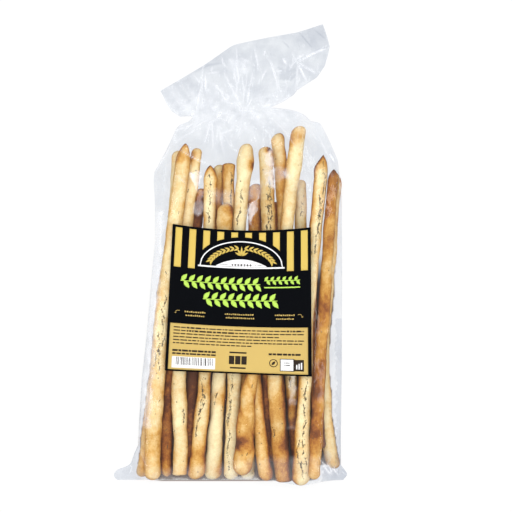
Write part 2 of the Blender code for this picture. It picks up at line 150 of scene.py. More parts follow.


# Breadsticks from the table up. x: at even stations from foot to head. y: foot and head. r: radius at
# foot, middle and head. bake: (y, how brown) from 0 pale cream to 1 dark brown. sides: extra brown at the
# left and right. spots: (x, y, size, extra brown). cracks: lines of (y, place across from -1 to 1).
# knobs: (y, extra radius, length). ends: shape of foot and head. dull: (y, share of painted shade that darkens
# the crust).
sticks = [
    dict(name="leftEdge", x=(-72.8, -64.0, -57.6, -50.2, -45.8), y=(3, 245), r=(5.3, 5.1, 4.8),
         bake=((3, .5), (40, .52), (70, .5), (105, .6), (130, .5), (160, .4), (200, .24), (245, .3)),
         sides=(-.1, .12), spots=((-70, 12, 7, .12),)),
    dict(name="leftHidden", x=(-53.8, -52.3, -40.8, -28.6), y=(3, 217), r=(4.7, 4.7, 4.6),
         bake=((3, .74), (30, .84), (60, .88), (200, .95), (217, .75)), sides=(.1, .1)),
    dict(name="leftDark", x=(-37.5, -34.6, -23.3, -15.0), y=(6, 234.6), r=(4.9, 4.9, 4.6),
         bake=((6, .95), (95, 1.0), (150, .8), (200, .8), (215, .66), (225, .5), (234, .3)), sides=(.1, .1),
         paintedShade=((190, .08), (234, .24))),
    dict(name="middleLow", x=(5.8, 1.5, -5.5, -8.4), y=(0.8, 235.7), r=(5.7, 4.7, 4.5),
         bake=((1, .06), (14, .1), (30, .6), (90, .75), (160, .45), (195, .34), (225, .42), (235, .5)),
         sides=(.2, .16), paintedShade=((180, .12), (236, .12)), ends=("round", "flat"),
         cracks=(((204, .5), (216, .45), (232, .7)),)),
    dict(name="rightGrey", x=(51.6, 48.3, 45.6, 45.4), y=(6, 223.4), r=(4.5, 4.5, 4.4),
         bake=((6, .6), (100, .45), (180, .3), (222, .3)), sides=(.16, .16), paintedShade=((150, .18), (223, .18)),
         cracks=(((196, .2), (206, .3)),)),
    dict(name="rightLow", x=(32.0, 28.8, 26.0, 26.3), y=(9, 207), r=(4.6, 4.5, 4.5),
         bake=((9, .8), (100, .8), (205, .9)), sides=(.1, .1)),
    dict(name="topRightInner", x=(43.4, 37.5, 33.8, 27.8), y=(5, 257.5), r=(4.7, 4.7, 5.5),
         bake=((5, .85), (46, .85), (60, .72), (70, .34), (90, .2), (180, .24), (215, .36), (236, .32),
               (259, .28)), sides=(.08, .42), spots=((31, 228, 9, .24), (29, 215, 8, .1)), slant=1.7,
         paintedShade=((46, 0), (62, .12), (84, .12), (96, 0)), cracks=(((70, -.2), (96, .1)),)),
    dict(name="farRight", x=(69.9, 61.2, 65.2, 71.0), y=(9, 229), r=(5.4, 5.2, 4.3),
         bake=((9, .46), (25, .28), (60, .2), (110, .22), (180, .3), (229, .5)), sides=(.16, .16),
         cracks=(((66, -.3), (72, -.2)),), ends=("round", "point")),
    dict(name="rightHidden", x=(60.0, 54.5, 53.2, 55.0), y=(24, 190), r=(4.6, 4.3, 4.0),
         bake=((24, .85), (205, .85)), sides=(.1, .1)),
    dict(name="topRightOuter", x=(24.5, 20.4, 27.1, 35.9, 43.4), y=(14, 262.7), r=(4.7, 4.7, 5.6),
         bake=((14, .95), (70, .9), (90, .6), (130, .26), (190, .22), (240, .16), (262, .24)),
         sides=(.24, .04), spots=((38.5, 254, 6, .2), (45, 256, 5, .12), (34, 214, 7, .14)),
         knobs=((230, .5, 9),), slant=0.9),
    dict(name="middleBrown", x=(19.5, 11.6, 9.6, 12.1), y=(1, 220.5), r=(5.5, 4.8, 5.5),
         bake=((1, .5), (18, .46), (40, .5), (70, .48), (150, .62), (190, .7), (220, .64)),
         sides=(.06, .36)),
    dict(name="middlePale", x=(-6.7, -4.2, -1.3, 5.2), y=(1, 250), r=(5.4, 4.9, 5.1),
         bake=((1, .08), (20, .12), (50, .22), (90, .22), (190, .14), (235, .14), (250, .22)),
         sides=(.06, .12), spots=((9.6, 234, 4.4, .62),), knobs=((236, 1.2, 8),),
         cracks=(((9, -.4), (31, -.6), (45, -.62), (58, -.58), (80, -.2)), ((44, -.5), (54, -.42),
                 (64, -.5)), ((190, -.45), (203, -.15), (216, .1)))),
    dict(name="bulgeHead", x=(-20.8, -15.8, -12.9, -11.0), y=(1, 205.4), r=(6.5, 5.0, 6.0),
         bake=((1, .14), (45, .04), (66, .06), (85, .12), (150, .3), (188, .4), (205, .4)),
         sides=(-.08, .26), spots=((-11, 60, 9, .42), (-15, 8, 6, .3), (-8, 202, 5, .16)),
         ends=("round", "shoulder"), slant=0.9, cracks=(((58, -.5), (66, -.35)),)),
    dict(name="middleRight", x=(32.2, 25.6, 21.7, 19.3), y=(-0.6, 247.4), r=(5.9, 5.7, 5.1),
         bake=((-2, .7), (12, .68), (19, .58), (32, .54), (50, .44), (75, .38), (150, .4), (200, .36),
               (230, .32), (247, .3)), sides=(.02, .3),
         paintedShade=((170, .05), (190, .24), (225, .22), (247, .1)),
         spots=((32.5, 27, 7, .26), (30, 56, 9, .12), (21, 245, 2.2, .6)), knobs=((25, .3, 9),),
         ends=("torn", "round"),
         cracks=(((178, .15), (200, .25), (222, .35)), ((184, -.1), (200, -.05), (212, .1)), ((176, .4),
                 (192, .45), (206, .4)), ((194, .28), (224, .42)), ((34, -.75), (40, -.7)))),
    dict(name="leftUpright", x=(-44.6, -44.7, -44.2, -40.0, -32.0), y=(4, 246.8), r=(5.4, 5.6, 4.2),
         bake=((4, .3), (22, .26), (45, .18), (110, .14), (200, .24), (232, .2), (246, .34)),
         sides=(.06, .16), spots=((-36, 240, 4, .4), (-41, 68, 8, .12)), ends=("torn", "round"),
         cracks=(((44, .65), (54, .6)), ((84, .3), (92, .35)))),
    dict(name="leftCracked", x=(-33.6, -25.9, -23.2, -22.0), y=(1.5, 234), r=(6.5, 4.5, 5.0),
         bake=((1, .36), (20, .38), (45, .26), (90, .22), (150, .16), (200, .05), (225, .18), (234, .7)),
         sides=(.22, .34), spots=((-27, 66, 6, .24), (-27.5, 20, 6, .24), (-26.6, 194, 5, .25)),
         ends=("round", "point"),
         cracks=(((192, .1), (205, -.05), (215, .1), (227, -.1)), ((34, -.5), (56, -.3), (76, -.1)),
                 ((54, .15), (64, .1)))),
    dict(name="rightFront", x=(45.1, 48.0, 53.6, 61.8), y=(-2.7, 242), r=(7.0, 4.4, 5.9),
         bake=((-4, .24), (30, .2), (70, .22), (110, .18), (200, .24), (228, .28), (242, .6)),
         sides=(.56, .1), ends=("round", "sharp"),
         cracks=(((168, .2), (190, .36), (211, .6), (226, .65), (237, .2)), ((182, .75), (200, .3),
                 (212, .2)), ((7, .4), (13, -.3), (23, -.55), (31, -.45)), ((35, .3), (55, .1), (74, .25),
                 (84, .3)), ((8, .6), (22, .25), (31, .1)), ((3, .1), (9, .2), (15, .1)))),
    dict(name="rightToasted", x=(54.7, 58.9, 63.9, 69.3), y=(2, 231), r=(4.5, 4.5, 4.1),
         bake=((2, .5), (20, .58), (36, .72), (75, .78), (105, .68), (160, .6), (200, .64), (231, .8)),
         sides=(.04, -.12),
         spots=((66.5, 200, 6, .16), (62.5, 128, 6, .2), (62, 158, 8, -.1), (56.5, 66, 4.5, .2),
                (56, 50, 4.5, .2), (54.5, 37, 4.5, .22), (61, 58, 4, -.14)), ends=("round", "point")),
    dict(name="leftFront", x=(-64.7, -60.6, -51.2, -40.2), y=(1, 250), r=(6.2, 6.0, 5.3),
         bake=((1, .36), (26, .38), (60, .26), (120, .22), (200, .22), (232, .28), (250, .5)),
         sides=(.14, .16), spots=((-67, 36, 6, .12), (-65, 70, 8, .14), (-44, 240, 5, .14)),
         ends=("round", "point"), cracks=(((80, -.1), (100, .2), (142, 0)), ((86, -.4), (110, -.3)))),
    dict(name="twistedFront", x=(1.7, 6.2, 11.2, 10.5), y=(5, 170), r=(7.2, 5.9, 4.4),
         bake=((5, .46), (12, .32), (20, .38), (26, .5), (45, .48), (66, .44), (100, .44), (170, .46)),
         sides=(.2, .1), spots=((3.0, 30, 6.2, .42), (9, 58, 6, .1)), knobs=((78, -1.3, 17), (30, .3, 10)),
         ends=("round", "round"), twist=(.07, 52, -2.3)),
]

crust = {
    "flat": 0.885,  # height of a stick's section as a share of its width
    "gap": 0.3, "mostTilt": 0.1, "mostBend": 3.5, "floorFilm": 0.6,
    "tiltCost": 8, "bendCost": 0.04,  # what a tilted or bent stick counts against one that lies higher
    "rings": 206, "around": 46,
    "endRings": 13, "endLength": 8.0,
    "lumps": 0.05,  # share of the radius
    "wander": 0.32,
    "grooveDepth": 0.5, "grooveWidth": 0.55,
}


def stickX(stations, share):
    # The lowest polynomial through the stations: each one's value times a product that is 1 there and 0 at
    # the others.
    at, total = np.linspace(0, 1, len(stations)), 0.0
    for k, value in enumerate(stations):
        factors = [(share - other) / (at[k] - other) for other in np.delete(at, k)]
        total = total + value * np.prod(factors, axis=0)
    return total


def stickLine(stick, count=90):
    # x, y and radius from foot to head; the radius is the parabola through its three values, with round ends.
    foot, head = stick["y"]
    share = np.linspace(0, 1, count)
    y = foot + share * (head - foot)
    radius = plainRadius(stick, share)
    cap = np.clip(np.minimum(y - foot, head - y) / radius, 0, 1)
    return stickX(stick["x"], share), y, radius * np.sqrt(np.clip(1 - (1 - cap) ** 2, 0.02, 1))


def plainRadius(stick, share):
    # The parabola through the radius at foot, middle and head.
    rFoot, rMiddle, rHead = stick["r"]
    bow = 4 * share * (1 - share)
    return bow * rMiddle + (1 - share) * (1 - 2 * share) * rFoot + share * (2 * share - 1) * rHead


def axisHeight(pose, y, stick):
    # Base + rise times distance from the middle + bend times a parabola.
    base, rise, bend = pose
    foot, head = stick["y"]
    half, off = (head - foot) / 2, y - (foot + head) / 2
    return base + rise * off + bend * (1 - (off / half) ** 2)


def settle(allSticks):
    # Each stick in turn lies as low, as straight and as level as the ones below it allow.
    poses = []
    rises = np.linspace(-crust["mostTilt"], crust["mostTilt"], 61)
    bends = np.linspace(-crust["mostBend"], crust["mostBend"], 15)
    probe = np.linspace(-4, 265, 180)
    lines = [stickLine(stick) for stick in allSticks]
    for n, stick in enumerate(allSticks):
        x, y, radius = lines[n]
        at = probe[(probe >= y[0]) & (probe <= y[-1])]
        xAt, rAt = np.interp(at, y, x), np.interp(at, y, radius)
        need = rAt * crust["flat"] + crust["floorFilm"]
        for m, pose in enumerate(poses):
            ox, oy, otherRadius = lines[m]
            reach = rAt + np.interp(at, oy, otherRadius, left=-99, right=-99) + crust["gap"]
            apart = np.abs(xAt - np.interp(at, oy, ox))
            stack = crust["flat"] * np.sqrt(np.clip(reach**2 - apart**2, 0, None))
            over = axisHeight(pose, at, allSticks[m]) + stack
            need = np.where((apart < reach) & (reach > 0), np.maximum(need, over), need)
        shape = axisHeight((0, rises[:, None, None], bends[None, :, None]), at, stick)
        base = (need - shape).max(axis=2)
        cost = base + bends * 2 / 3 + crust["tiltCost"] * rises[:, None] ** 2 + crust["bendCost"] * bends**2
        i, j = np.unravel_index(np.argmin(cost), cost.shape)
        poses.append((base[i, j], rises[i], bends[j]))
    return poses


# Length of each end shape as a share of the radius, and the power of its profile.
endShapes = {"round": (1.0, 0.5), "flat": (0.45, 0.42), "shoulder": (0.8, 0.45), "point": (2.3, 0.72),
             "sharp": (2.4, 1.15), "torn": (0.3, 0.4)}
tornEnds = {"round": 0.25, "flat": 0.8, "shoulder": 0.4, "point": 0.8, "sharp": 0.6, "torn": 2.2}


def endProfile(distance, radius, kind):
    # 0 at the tip and 1 past the cap: a quarter circle stretched along the stick and raised to a power.
    length, power = endShapes[kind]
    rest = 1 - np.clip(distance / (length * radius), 0, 1)
    return np.clip(1 - rest**2, 0, 1) ** power


# How much browner than its table says a stick is in places; on the flanks the extra brown is partly baking and
# partly painted shade.
baking = {"underside": 0.18, "flankBrownAndShade": 0.15, "twist": 2.0, "cloud": 0.06, "tips": 0.22}


def stickSurface(stick, pose, seed):
    # A ring of points at each step along the stick. Ring radius = plain radius + knobs + lumps, less the
    # groove of each crack; browning and distance to the nearest crack go along as attributes.
    foot, head = stick["y"]
    end = crust["endLength"] * np.linspace(0, 1, crust["endRings"]) ** 1.6
    middleY = np.linspace(foot + crust["endLength"], head - crust["endLength"], crust["rings"])
    y = np.concatenate([foot + end[:-1], middleY, head - end[::-1][1:]])
    angle = np.linspace(0, 2 * np.pi, crust["around"], endpoint=False)
    alongY, turn = np.meshgrid(y, angle, indexing="ij")
    share = (alongY - foot) / (head - foot)
    radius = plainRadius(stick, share)
    for at, extra, length in stick.get("knobs", ()):
        radius = radius + extra * np.exp(-(((alongY - at) / length) ** 2))
    footEnd, headEnd = stick.get("ends", ("round", "round"))
    cap = endProfile(alongY - foot, radius, footEnd) * endProfile(head - alongY, radius, headEnd)
    # a twisted stick is oval, and the oval turns as it goes along
    twist, pitch, phase = stick.get("twist", (0, 60, 0))
    spiral = turn - 2 * np.pi * alongY / pitch - phase
    radius = radius * (1 + twist * np.cos(2 * spiral))
    lumps = ripple(alongY, turn, seed, 9, 70, 7, 3)
    oval = 0.04 * np.cos(2 * turn + ripple(alongY, 0, seed + 50, 3, 140, 60, 0) * 2)
    radius = radius * (0.975 + crust["lumps"] * lumps + oval)
    seam = np.full(alongY.shape, 20.0)
    for n, line in enumerate(stick.get("cracks", ())):
        lineY, across = np.array(line, float).T
        middle = np.arccos(np.clip(np.interp(alongY, lineY, across), -0.98, 0.98))
        middle = middle + 0.16 * ripple(alongY, 0, seed + 7 * n + 3, 4, 30, 5, 0)
        beyond = np.maximum(0, np.maximum(lineY[0] - alongY, alongY - lineY[-1]))
        off = (turn - middle + np.pi) % (2 * np.pi) - np.pi
        seam = np.minimum(seam, np.hypot(off * radius, beyond))
    width = crust["grooveWidth"]
    groove = np.exp(-((seam / width) ** 2)) - 0.45 * np.exp(-(((seam - 2.2 * width) / width) ** 2))
    radius = (radius - crust["grooveDepth"] * groove) * cap
    wander = crust["wander"] * ripple(alongY, 0, seed + 20, 4, 90, 22, 0) * np.clip(cap, 0.4, 1)
    ragged = np.abs((1 - cap) * ripple(turn * 4, 0, seed + 31, 4, 9, 2, 0))
    torn = np.where(share < 0.5, tornEnds[footEnd], tornEnds[headEnd])
    slant = stick.get("slant", 0) * np.cos(turn) * cap * np.clip(1 - (head - alongY) / 9, 0, 1)
    x = stickX(stick["x"], share) + wander + radius * np.cos(turn)
    z = axisHeight(pose, alongY, stick) + crust["flat"] * radius * np.sin(turn)
    z = np.maximum(z, crust["floorFilm"] * 0.7)
    points = np.stack([x, alongY + slant + torn * ragged * np.where(share < 0.5, 1, -1), z], axis=-1)
    brown = np.interp(alongY, *np.array(stick["bake"], float).T)
    left, right = stick["sides"]
    across = np.cos(turn)
    brown = brown + left * np.clip(-across, 0, 1) ** 2.2 + right * np.clip(across, 0, 1) ** 2.2
    # on the flanks the extra brown is partly browning and partly painted shade along both sides of a stick
    brown = brown + baking["underside"] * np.clip(-np.sin(turn), 0, 1) + baking["flankBrownAndShade"] * np.abs(across) ** 4
    brown = brown + baking["twist"] * twist * np.clip(-np.cos(2 * spiral), 0, 1) ** 3
    brown = brown + baking["cloud"] * ripple(alongY, turn, seed + 70, 6, 60, 9, 2)
    brown = brown + baking["tips"] * (1 - cap) ** 2
    for spotX, spotY, size, extra in stick.get("spots", ()):
        far = np.hypot(x - spotX, alongY - spotY) / size
        brown = brown + extra * np.exp(-(far**2)) * (np.sin(turn) > -0.2)
    # painted shade that darkens parts of some sticks
    paintedShade = np.interp(alongY, *np.array(stick.get("paintedShade", ((0, 0), (1, 0))), float).T)
    return points, np.clip(brown, 0, 1.1), seam, paintedShade


def closedTube(name, rings, attributes):
    # Rings joined by quads, with a fan of triangles to one pole point at each end.
    count, around = rings.shape[:2]
    poles = np.stack([rings[0].mean(axis=0), rings[-1].mean(axis=0)])
    ring = np.arange(around)
    following = (ring + 1) % around
    first = np.stack([np.full(around, count * around), following, ring], axis=1)
    last = (count - 1) * around
    second = np.stack([np.full(around, count * around + 1), last + ring, last + following], axis=1)
    values = {key: np.concatenate([v.ravel(), [v[0].mean(), v[-1].mean()]]) for key, v in attributes.items()}
    return makeMesh(name, np.vstack([rings.reshape(-1, 3), poles]), gridQuads(count, around, True),
                    np.vstack([first, second]), values)


poses = settle(sticks)
stickPieces, stickGrids = [], []
for number, (stick, pose) in enumerate(zip(sticks, poses)):
    grid, brown, seam, paintedShade = stickSurface(stick, pose, 100 + 13 * number)
    layers = {"brown": brown, "crackDistance": seam, "paintedShade": paintedShade}
    stickPieces.append(closedTube("grissino_" + stick["name"], grid, layers))
    stickGrids.append((grid, seam))
highestCrust = max(grid[..., 2].max() for grid, seam in stickGrids)
print("sticks laid:", len(stickPieces), "highest crust", round(highestCrust, 1), "mm")

herbs = {
    "perCrack": 9, "scattered": 5,  # leaves for each 60 points beside a crack, and strewn on each stick
    "length": (1.4, 3.2), "width": 0.5, "thick": 0.28,
    "rings": 5, "around": 6,
}


def herbLeaves():
    # Dried herb leaves: spindles on the crust, most of them along the cracks. Each is one small tube whose
    # width swells as a sine from tip to tip, set on the crust by the two tangents of the stick's surface.
    dice = np.random.default_rng(41)
    spots, ups, alongs, lengths = [], [], [], []
    for grid, seam in stickGrids:
        normal = np.cross(np.gradient(grid, axis=0), np.gradient(grid, axis=1))
        normal /= np.linalg.norm(normal, axis=2, keepdims=True) + 1e-9
        middle = grid.mean(axis=1, keepdims=True)
        normal *= np.sign(((grid - middle) * normal).sum(axis=2, keepdims=True))
        inside = np.zeros(seam.shape, bool)
        inside[14:-14] = True
        nearCrack = np.argwhere((seam < 0.8) & inside)
        onTop = np.argwhere((normal[..., 2] > 0.15) & inside)
        wanted = min(len(nearCrack), int(herbs["perCrack"] * len(nearCrack) / 60))
        chosen = [onTop[dice.integers(0, len(onTop), herbs["scattered"])]]
        if wanted:
            chosen.append(nearCrack[dice.integers(0, len(nearCrack), wanted)])
        chosen = np.vstack(chosen)
        i, k = chosen.T
        tangent = grid[i + 1, k] - grid[i - 1, k]
        spots.append(grid[i, k])
        ups.append(normal[i, k])
        alongs.append(tangent / np.linalg.norm(tangent, axis=1, keepdims=True))
        lengths.append(dice.uniform(*herbs["length"], len(i)))
    spot, up, along, length = (np.concatenate(v) for v in (spots, ups, alongs, lengths))
    sideways = np.cross(up, along)
    turn = dice.normal(0, 0.45, len(spot))[:, None]
    heading = along * np.cos(turn) + sideways * np.sin(turn)
    sideways = np.cross(up, heading)
    share = np.linspace(0, 1, herbs["rings"])[None, :, None, None]
    angle = np.linspace(0, 2 * np.pi, herbs["around"], endpoint=False)[None, None, :, None]
    swell = np.sin(np.pi * np.clip(share, 0.04, 0.96)) ** 0.8
    width = herbs["width"] * dice.uniform(0.7, 1.3, len(spot))[:, None, None, None] / 2
    points = spot[:, None, None, :] + heading[:, None, None, :] * (share - 0.5) * length[:, None, None, None]
    points = points + sideways[:, None, None, :] * swell * width * np.cos(angle)
    points = points + up[:, None, None, :] * (swell * herbs["thick"] / 2 * np.sin(angle) + 0.05)
    rows, around = herbs["rings"], herbs["around"]
    each = rows * around
    quads = gridQuads(rows, around, True)
    caps = [np.arange(around), (rows - 1) * around + np.arange(around)[::-1]]
    closing = np.vstack([np.stack([c[[0] * (around - 2)], c[1:-1], c[2:]], axis=1) for c in caps])
    start = (np.arange(len(spot)) * each)[:, None, None]
    shade = np.repeat(dice.uniform(0, 1, len(spot)), each)
    piece = makeMesh("herbLeaves", points, (quads[None] + start).reshape(-1, 4),
                     (closing[None, :, ::-1] + start).reshape(-1, 3), {"shade": shade})
    print("herb leaves:", len(spot))
    return piece


leafPiece = herbLeaves()


def labelPlan(u, v):
    # Straight blend of the four corners; the head edge sags by a parabola.
    footLeft, footRight = np.array(labelShape["foot"], float)
    headLeft, headRight = np.array(labelShape["head"], float)
    u, v = u[..., None], v[..., None]
    flat = (1 - v) * ((1 - u) * footLeft + u * footRight) + v * ((1 - u) * headLeft + u * headRight)
    flat[..., 1] -= labelShape["sag"] * (4 * u * (1 - u) * v)[..., 0]
    return flat


def footLine(share):
    # The straight foot edge, less a bell curve where one long stick pushes it out.
    left, right = bagShape["leftEdge"][0], bagShape["rightEdge"][0]
    at, depth, spread = bagShape["footDip"]
    x = left[0] + share * (right[0] - left[0])
    return np.stack([x, left[1] - depth * np.exp(-(((x - at) / spread) ** 2))], axis=-1)


def edgeByHeight(points, share):
    # A side edge at evenly rising heights.
    points = np.array(points, float)
    y = points[0, 1] + share * (points[-1, 1] - points[0, 1])
    return np.stack([np.interp(y, points[:, 1], points[:, 0]), y], axis=-1)


def coonsPatch(bottom, top, left, right, s, t):
    # The two blends between facing edges, less the blend of the four corners.
    s, t = s[None, :, None], t[:, None, None]
    rise = (1 - t) * bottom[None] + t * top[None]
    cross = (1 - s) * left[:, None] + s * right[:, None]
    corners = (1 - t) * ((1 - s) * bottom[0] + s * bottom[-1]) + t * ((1 - s) * top[0] + s * top[-1])
    return rise + cross - corners


def edgeHeight(y):
    # Height at which front and back film meet, from foot to neck.
    high = bagShape["edgeHeight"]
    return np.interp(y, [0, 30, 270], [high - 3, high, bagShape["neckHeight"] * 0.6])


def crustTops(gx, gy, step):
    # Highest and lowest crust point in each cell of a grid, spread one cell outwards so that no ring is
    # missed.
    top = np.full(gx.shape, -99.0)
    low = np.full(gx.shape, 99.0)
    for grid, seam in stickGrids:
        column = np.clip(np.rint((grid[..., 0] - gx[0, 0]) / step).astype(int), 1, gx.shape[1] - 2)
        row = np.clip(np.rint((grid[..., 1] - gy[0, 0]) / step).astype(int), 1, gx.shape[0] - 2)
        np.maximum.at(top, (row, column), grid[..., 2])
        np.minimum.at(low, (row, column), grid[..., 2])
    for axis in (0, 1):
        top = np.maximum(top, np.maximum(np.roll(top, 1, axis), np.roll(top, -1, axis)))
        low = np.minimum(low, np.minimum(np.roll(low, 1, axis), np.roll(low, -1, axis)))
    return top + bagShape["slack"], low


def stiffen(top, gx, gy):
    # Bridges the hollows under the label: every point rises to the highest parabola of the paper's tightest
    # radius that stands on any point beside it.
    margin, bend = labelShape["margin"], labelShape["bend"]
    (footLeft, footRight), headLeft = labelShape["foot"], labelShape["head"][0]
    rows = np.where((gy[:, 0] > footRight[1] - margin) & (gy[:, 0] < headLeft[1] + margin))[0]
    columns = np.where((gx[0] > footLeft[0] - margin) & (gx[0] < footRight[0] + margin))[0]
    x, y = gx[0, columns], gy[rows, 0]
    area = top[np.ix_(rows, columns)]
    bridge = (area[:, None, :] - ((x[:, None] - x[None, :]) ** 2 / (2 * bend))[None]).max(axis=2)
    bridge = (bridge.T[:, None, :] - ((y[:, None] - y[None, :]) ** 2 / (4 * bend))[None]).max(axis=2).T
    stiff = top.copy()
    stiff[np.ix_(rows, columns)] = np.maximum(area, bridge)
    return stiff


def neighbourMean(height):
    # Mean of the four neighbours of each point.
    rows = np.roll(height, 1, 0) + np.roll(height, -1, 0)
    return (rows + np.roll(height, 1, 1) + np.roll(height, -1, 1)) / 4


def drape(step, rounds, start=None):
    # Front and back film as two stretched skins held at the outline: every free point settles at the mean of
    # its neighbours plus a small puff, never below the crusts for the front or above them for the back.
    x, y = np.arange(-99, 85, step), np.arange(-7.5, 284, step)
    gx, gy = np.meshgrid(x, y)
    left, right = np.array(bagShape["leftEdge"]), np.array(bagShape["rightEdge"])
    across = (gx - left[-1, 0]) / (right[-1, 0] - left[-1, 0])
    neckY = left[-1, 1] + across * (right[-1, 1] - left[-1, 1])
    across = np.clip(across, 0, 1)
    footX, footY = footLine(np.linspace(0, 1, 80)).T
    inside = (gx > np.interp(gy, left[:, 1], left[:, 0])) & (gx < np.interp(gy, right[:, 1], right[:, 0]))
    inside &= (gy > np.interp(x, footX, footY)[None, :]) & (gy < neckY)
    rim = edgeHeight(gy)
    back = rim - bagShape["rimGap"]
    top, low = crustTops(gx, gy, step)
    top = stiffen(np.maximum(top, 0), gx, gy)
    if start is None:
        front = np.where(inside, np.maximum(top, rim), rim)
        under = np.where(inside, 0, back)
    else:
        front, under = sampleHeight(start, 2, gx, gy), sampleHeight(start, 3, gx, gy)
    neck = bagShape["neckHeight"] * (0.6 + 0.4 * np.sin(np.pi * across))
    lifted = bagShape["neckLift"] + (back - bagShape["neckLift"]) * np.abs(2 * across - 1) ** 3
    front = np.where(inside, front, np.where(gy >= neckY, neck, rim))
    under = np.where(inside, under, np.where(gy >= neckY, lifted, back))
    puff = bagShape["puff"] * step**2 / 4
    for _ in range(rounds):
        front = np.where(inside, np.maximum(top, neighbourMean(front) + puff), front)
        under = np.where(inside, np.clip(neighbourMean(under) - puff, 0, np.maximum(low - 0.2, 0)), under)
    return x, y, front, under, top


def sampleHeight(film, which, px, py):
    # Straight blend between the four grid points round each place.
    x, y, height = film[0], film[1], film[which]
    step = x[1] - x[0]
    fx, fy = np.clip((px - x[0]) / step, 0, len(x) - 1.001), np.clip((py - y[0]) / step, 0, len(y) - 1.001)
    ix, iy = fx.astype(int), fy.astype(int)
    rx, ry = fx - ix, fy - iy
    below = height[iy, ix] * (1 - rx) + height[iy, ix + 1] * rx
    above = height[iy + 1, ix] * (1 - rx) + height[iy + 1, ix + 1] * rx
    return below * (1 - ry) + above * ry


draped = drape(2.0, 700)
draped = drape(1.0, 260, draped)
print("film draped, highest", round(float(draped[2].max()), 1), "mm")

# Folds in the film: points, width of the ridge, its height, white along it (partly hazy film and partly
# painted glint), and darkening beside it.
folds = [
    (((10.8, 321), (13.6, 307), (15.5, 304)), 0.8, 0.9, .5, 0),
    (((21.2, 314.6), (25.9, 301.4), (26.9, 297.6), (27.8, 288.2)), 0.9, 1.0, .55, 0),
    (((31.6, 313.8), (34.8, 309)), 1.3, 0.7, .7, 0),
    (((42.4, 310.9), (55.1, 317.5), (66, 321.8)), 0.9, 0.9, .8, 0),
    (((42.4, 310.9), (57, 301.9)), 0.8, 0.9, .8, 0),
    (((42.4, 310.5), (50, 295.8)), 0.9, 0.9, .8, 0),
    (((42.4, 310.2), (42, 290.1)), 0.8, 0.6, .45, 0),
    (((-7.8, 313.8), (-4.4, 309)), 0.8, 0.5, .5, 0),
    (((-.3, 314.4), (7.9, 310.3)), 0.8, 0.5, .55, 0),
    (((-6, 309), (0, 306), (6, 308)), 1.2, 0.5, .4, 0),
    (((1, 311), (5, 304)), 0.8, 0.5, .45, 0),
    (((-26, 301.4), (-25.2, 288.2)), 1.2, 0.9, .6, 0),
    (((-15.6, 303.4), (-24.1, 302.4)), 1.0, 0.7, .5, 0),
    (((-28.9, 293.9), (-31.8, 278.8), (-33.6, 270.5)), 1.0, 0.9, .5, 0),
    (((-35.5, 282.5), (-41.1, 273.1)), 0.9, 0.6, .4, 0),
    (((-20.4, 296.7), (-13.8, 288.2), (-10, 280.7), (-.5, 278.8)), 1.1, 0.9, .5, 0),
    (((7, 292), (5.2, 279.7)), 1.2, 0.8, .6, 0),
    (((14.6, 285.3), (24.9, 284.5)), 0.9, 0.5, .4, 0),
    (((-3, 274), (3.3, 275.4), (8.9, 274.5)), 0.5, 0.5, 0, .8),
    (((-34, 303.5), (-24, 308.5), (-10.9, 310.5)), 2.2, 0.8, 0, 1.1),
    (((43.4, 333.5), (52.8, 322.2), (53.7, 318.9)), 0.9, 0.8, 0, 1.5),
    (((53.7, 318.9), (60, 320.6), (67, 322)), 0.9, 0.4, 0, 1.2),
    (((53.7, 336), (66, 326)), 0.9, 0.7, 0, 1.4),
    (((42.4, 310.9), (47, 313.6), (52, 316.4)), 0.6, 0.2, 0, 1.3),
    (((-46.3, 246.4), (-35.5, 239.8), (-21.5, 233.1)), 0.6, 0.5, .75, 0),
    (((-47.7, 226.4), (-39.2, 219.8)), 0.6, 0.4, .55, 0),
    (((-50.5, 249.5), (-63, 229)), 0.6, 0.5, .45, 0),
    (((-20.7, 270.8), (-24, 258), (-26, 250)), 1.0, 0.8, .5, 0),
    (((-20.7, 270.8), (-20.2, 256), (-19.5, 244)), 0.9, 0.8, .55, 0),
    (((-20.7, 270.8), (-15, 260), (-11.5, 249)), 0.9, 0.8, .5, 0),
    (((-20.7, 270.8), (-30, 264), (-38, 260)), 0.9, 0.8, .5, 0),
    (((-20.7, 270.8), (-8, 266), (-1, 262)), 0.9, 0.8, .5, 0),
    (((2.2, 277), (-4, 287), (-9, 296)), 1.2, 0.9, .5, 0),
    (((2.2, 277), (3, 290), (1, 302)), 1.1, 0.9, .5, 0),
    (((2.2, 277), (12, 270), (20, 262)), 1.0, 0.8, .4, 0),
    (((2.2, 277), (1, 264), (-2, 254)), 1.0, 0.8, .4, 0),
    (((36, 276), (50, 262), (62, 246)), 1.4, 0.6, .25, 0),
    (((52, 266), (60, 252), (66, 238), (68, 225)), 1.0, 0.5, .3, 0),
    (((66, 243), (70, 236)), 1.4, 0.6, .7, 0),
    (((60, 14), (66, 6), (72, 13)), 1.0, 0.9, .7, 0),
    (((57, 19), (64, 12), (79, 5)), 0.7, 0.9, .6, 0),
    (((68, 20), (62, 9)), 0.8, 0.8, .5, 0),
    (((-78, 20), (-86, 8)), 1.2, 0.6, .3, .2),
    (((-75.5, 26), (-69, 12), (-60, 2)), 0.8, 0.5, .3, 0),
    # painted shade: the dark line along the foot stands for the shade under the sticks' feet
    (((-90, 1.2), (-30, 0.6), (24, 0.4)), 1.2, 0.3, 0, 1.5),
    (((60, 15), (66, 7), (68, 3)), 0.7, 0.9, .7, 0),
    (((66, 12), (71, 7), (74, 3)), 0.8, 0.6, .8, 0),
    (((59, 17), (62, 13), (66, 12), (68, 5)), 1.0, 0.9, .9, 0),
    (((60, 6), (68, 3), (76, 4)), 0.8, 0.5, 0, 1.4),
    (((34, 40), (38, 41), (42, 39.5)), 2.0, 0.3, .1, 0),
]
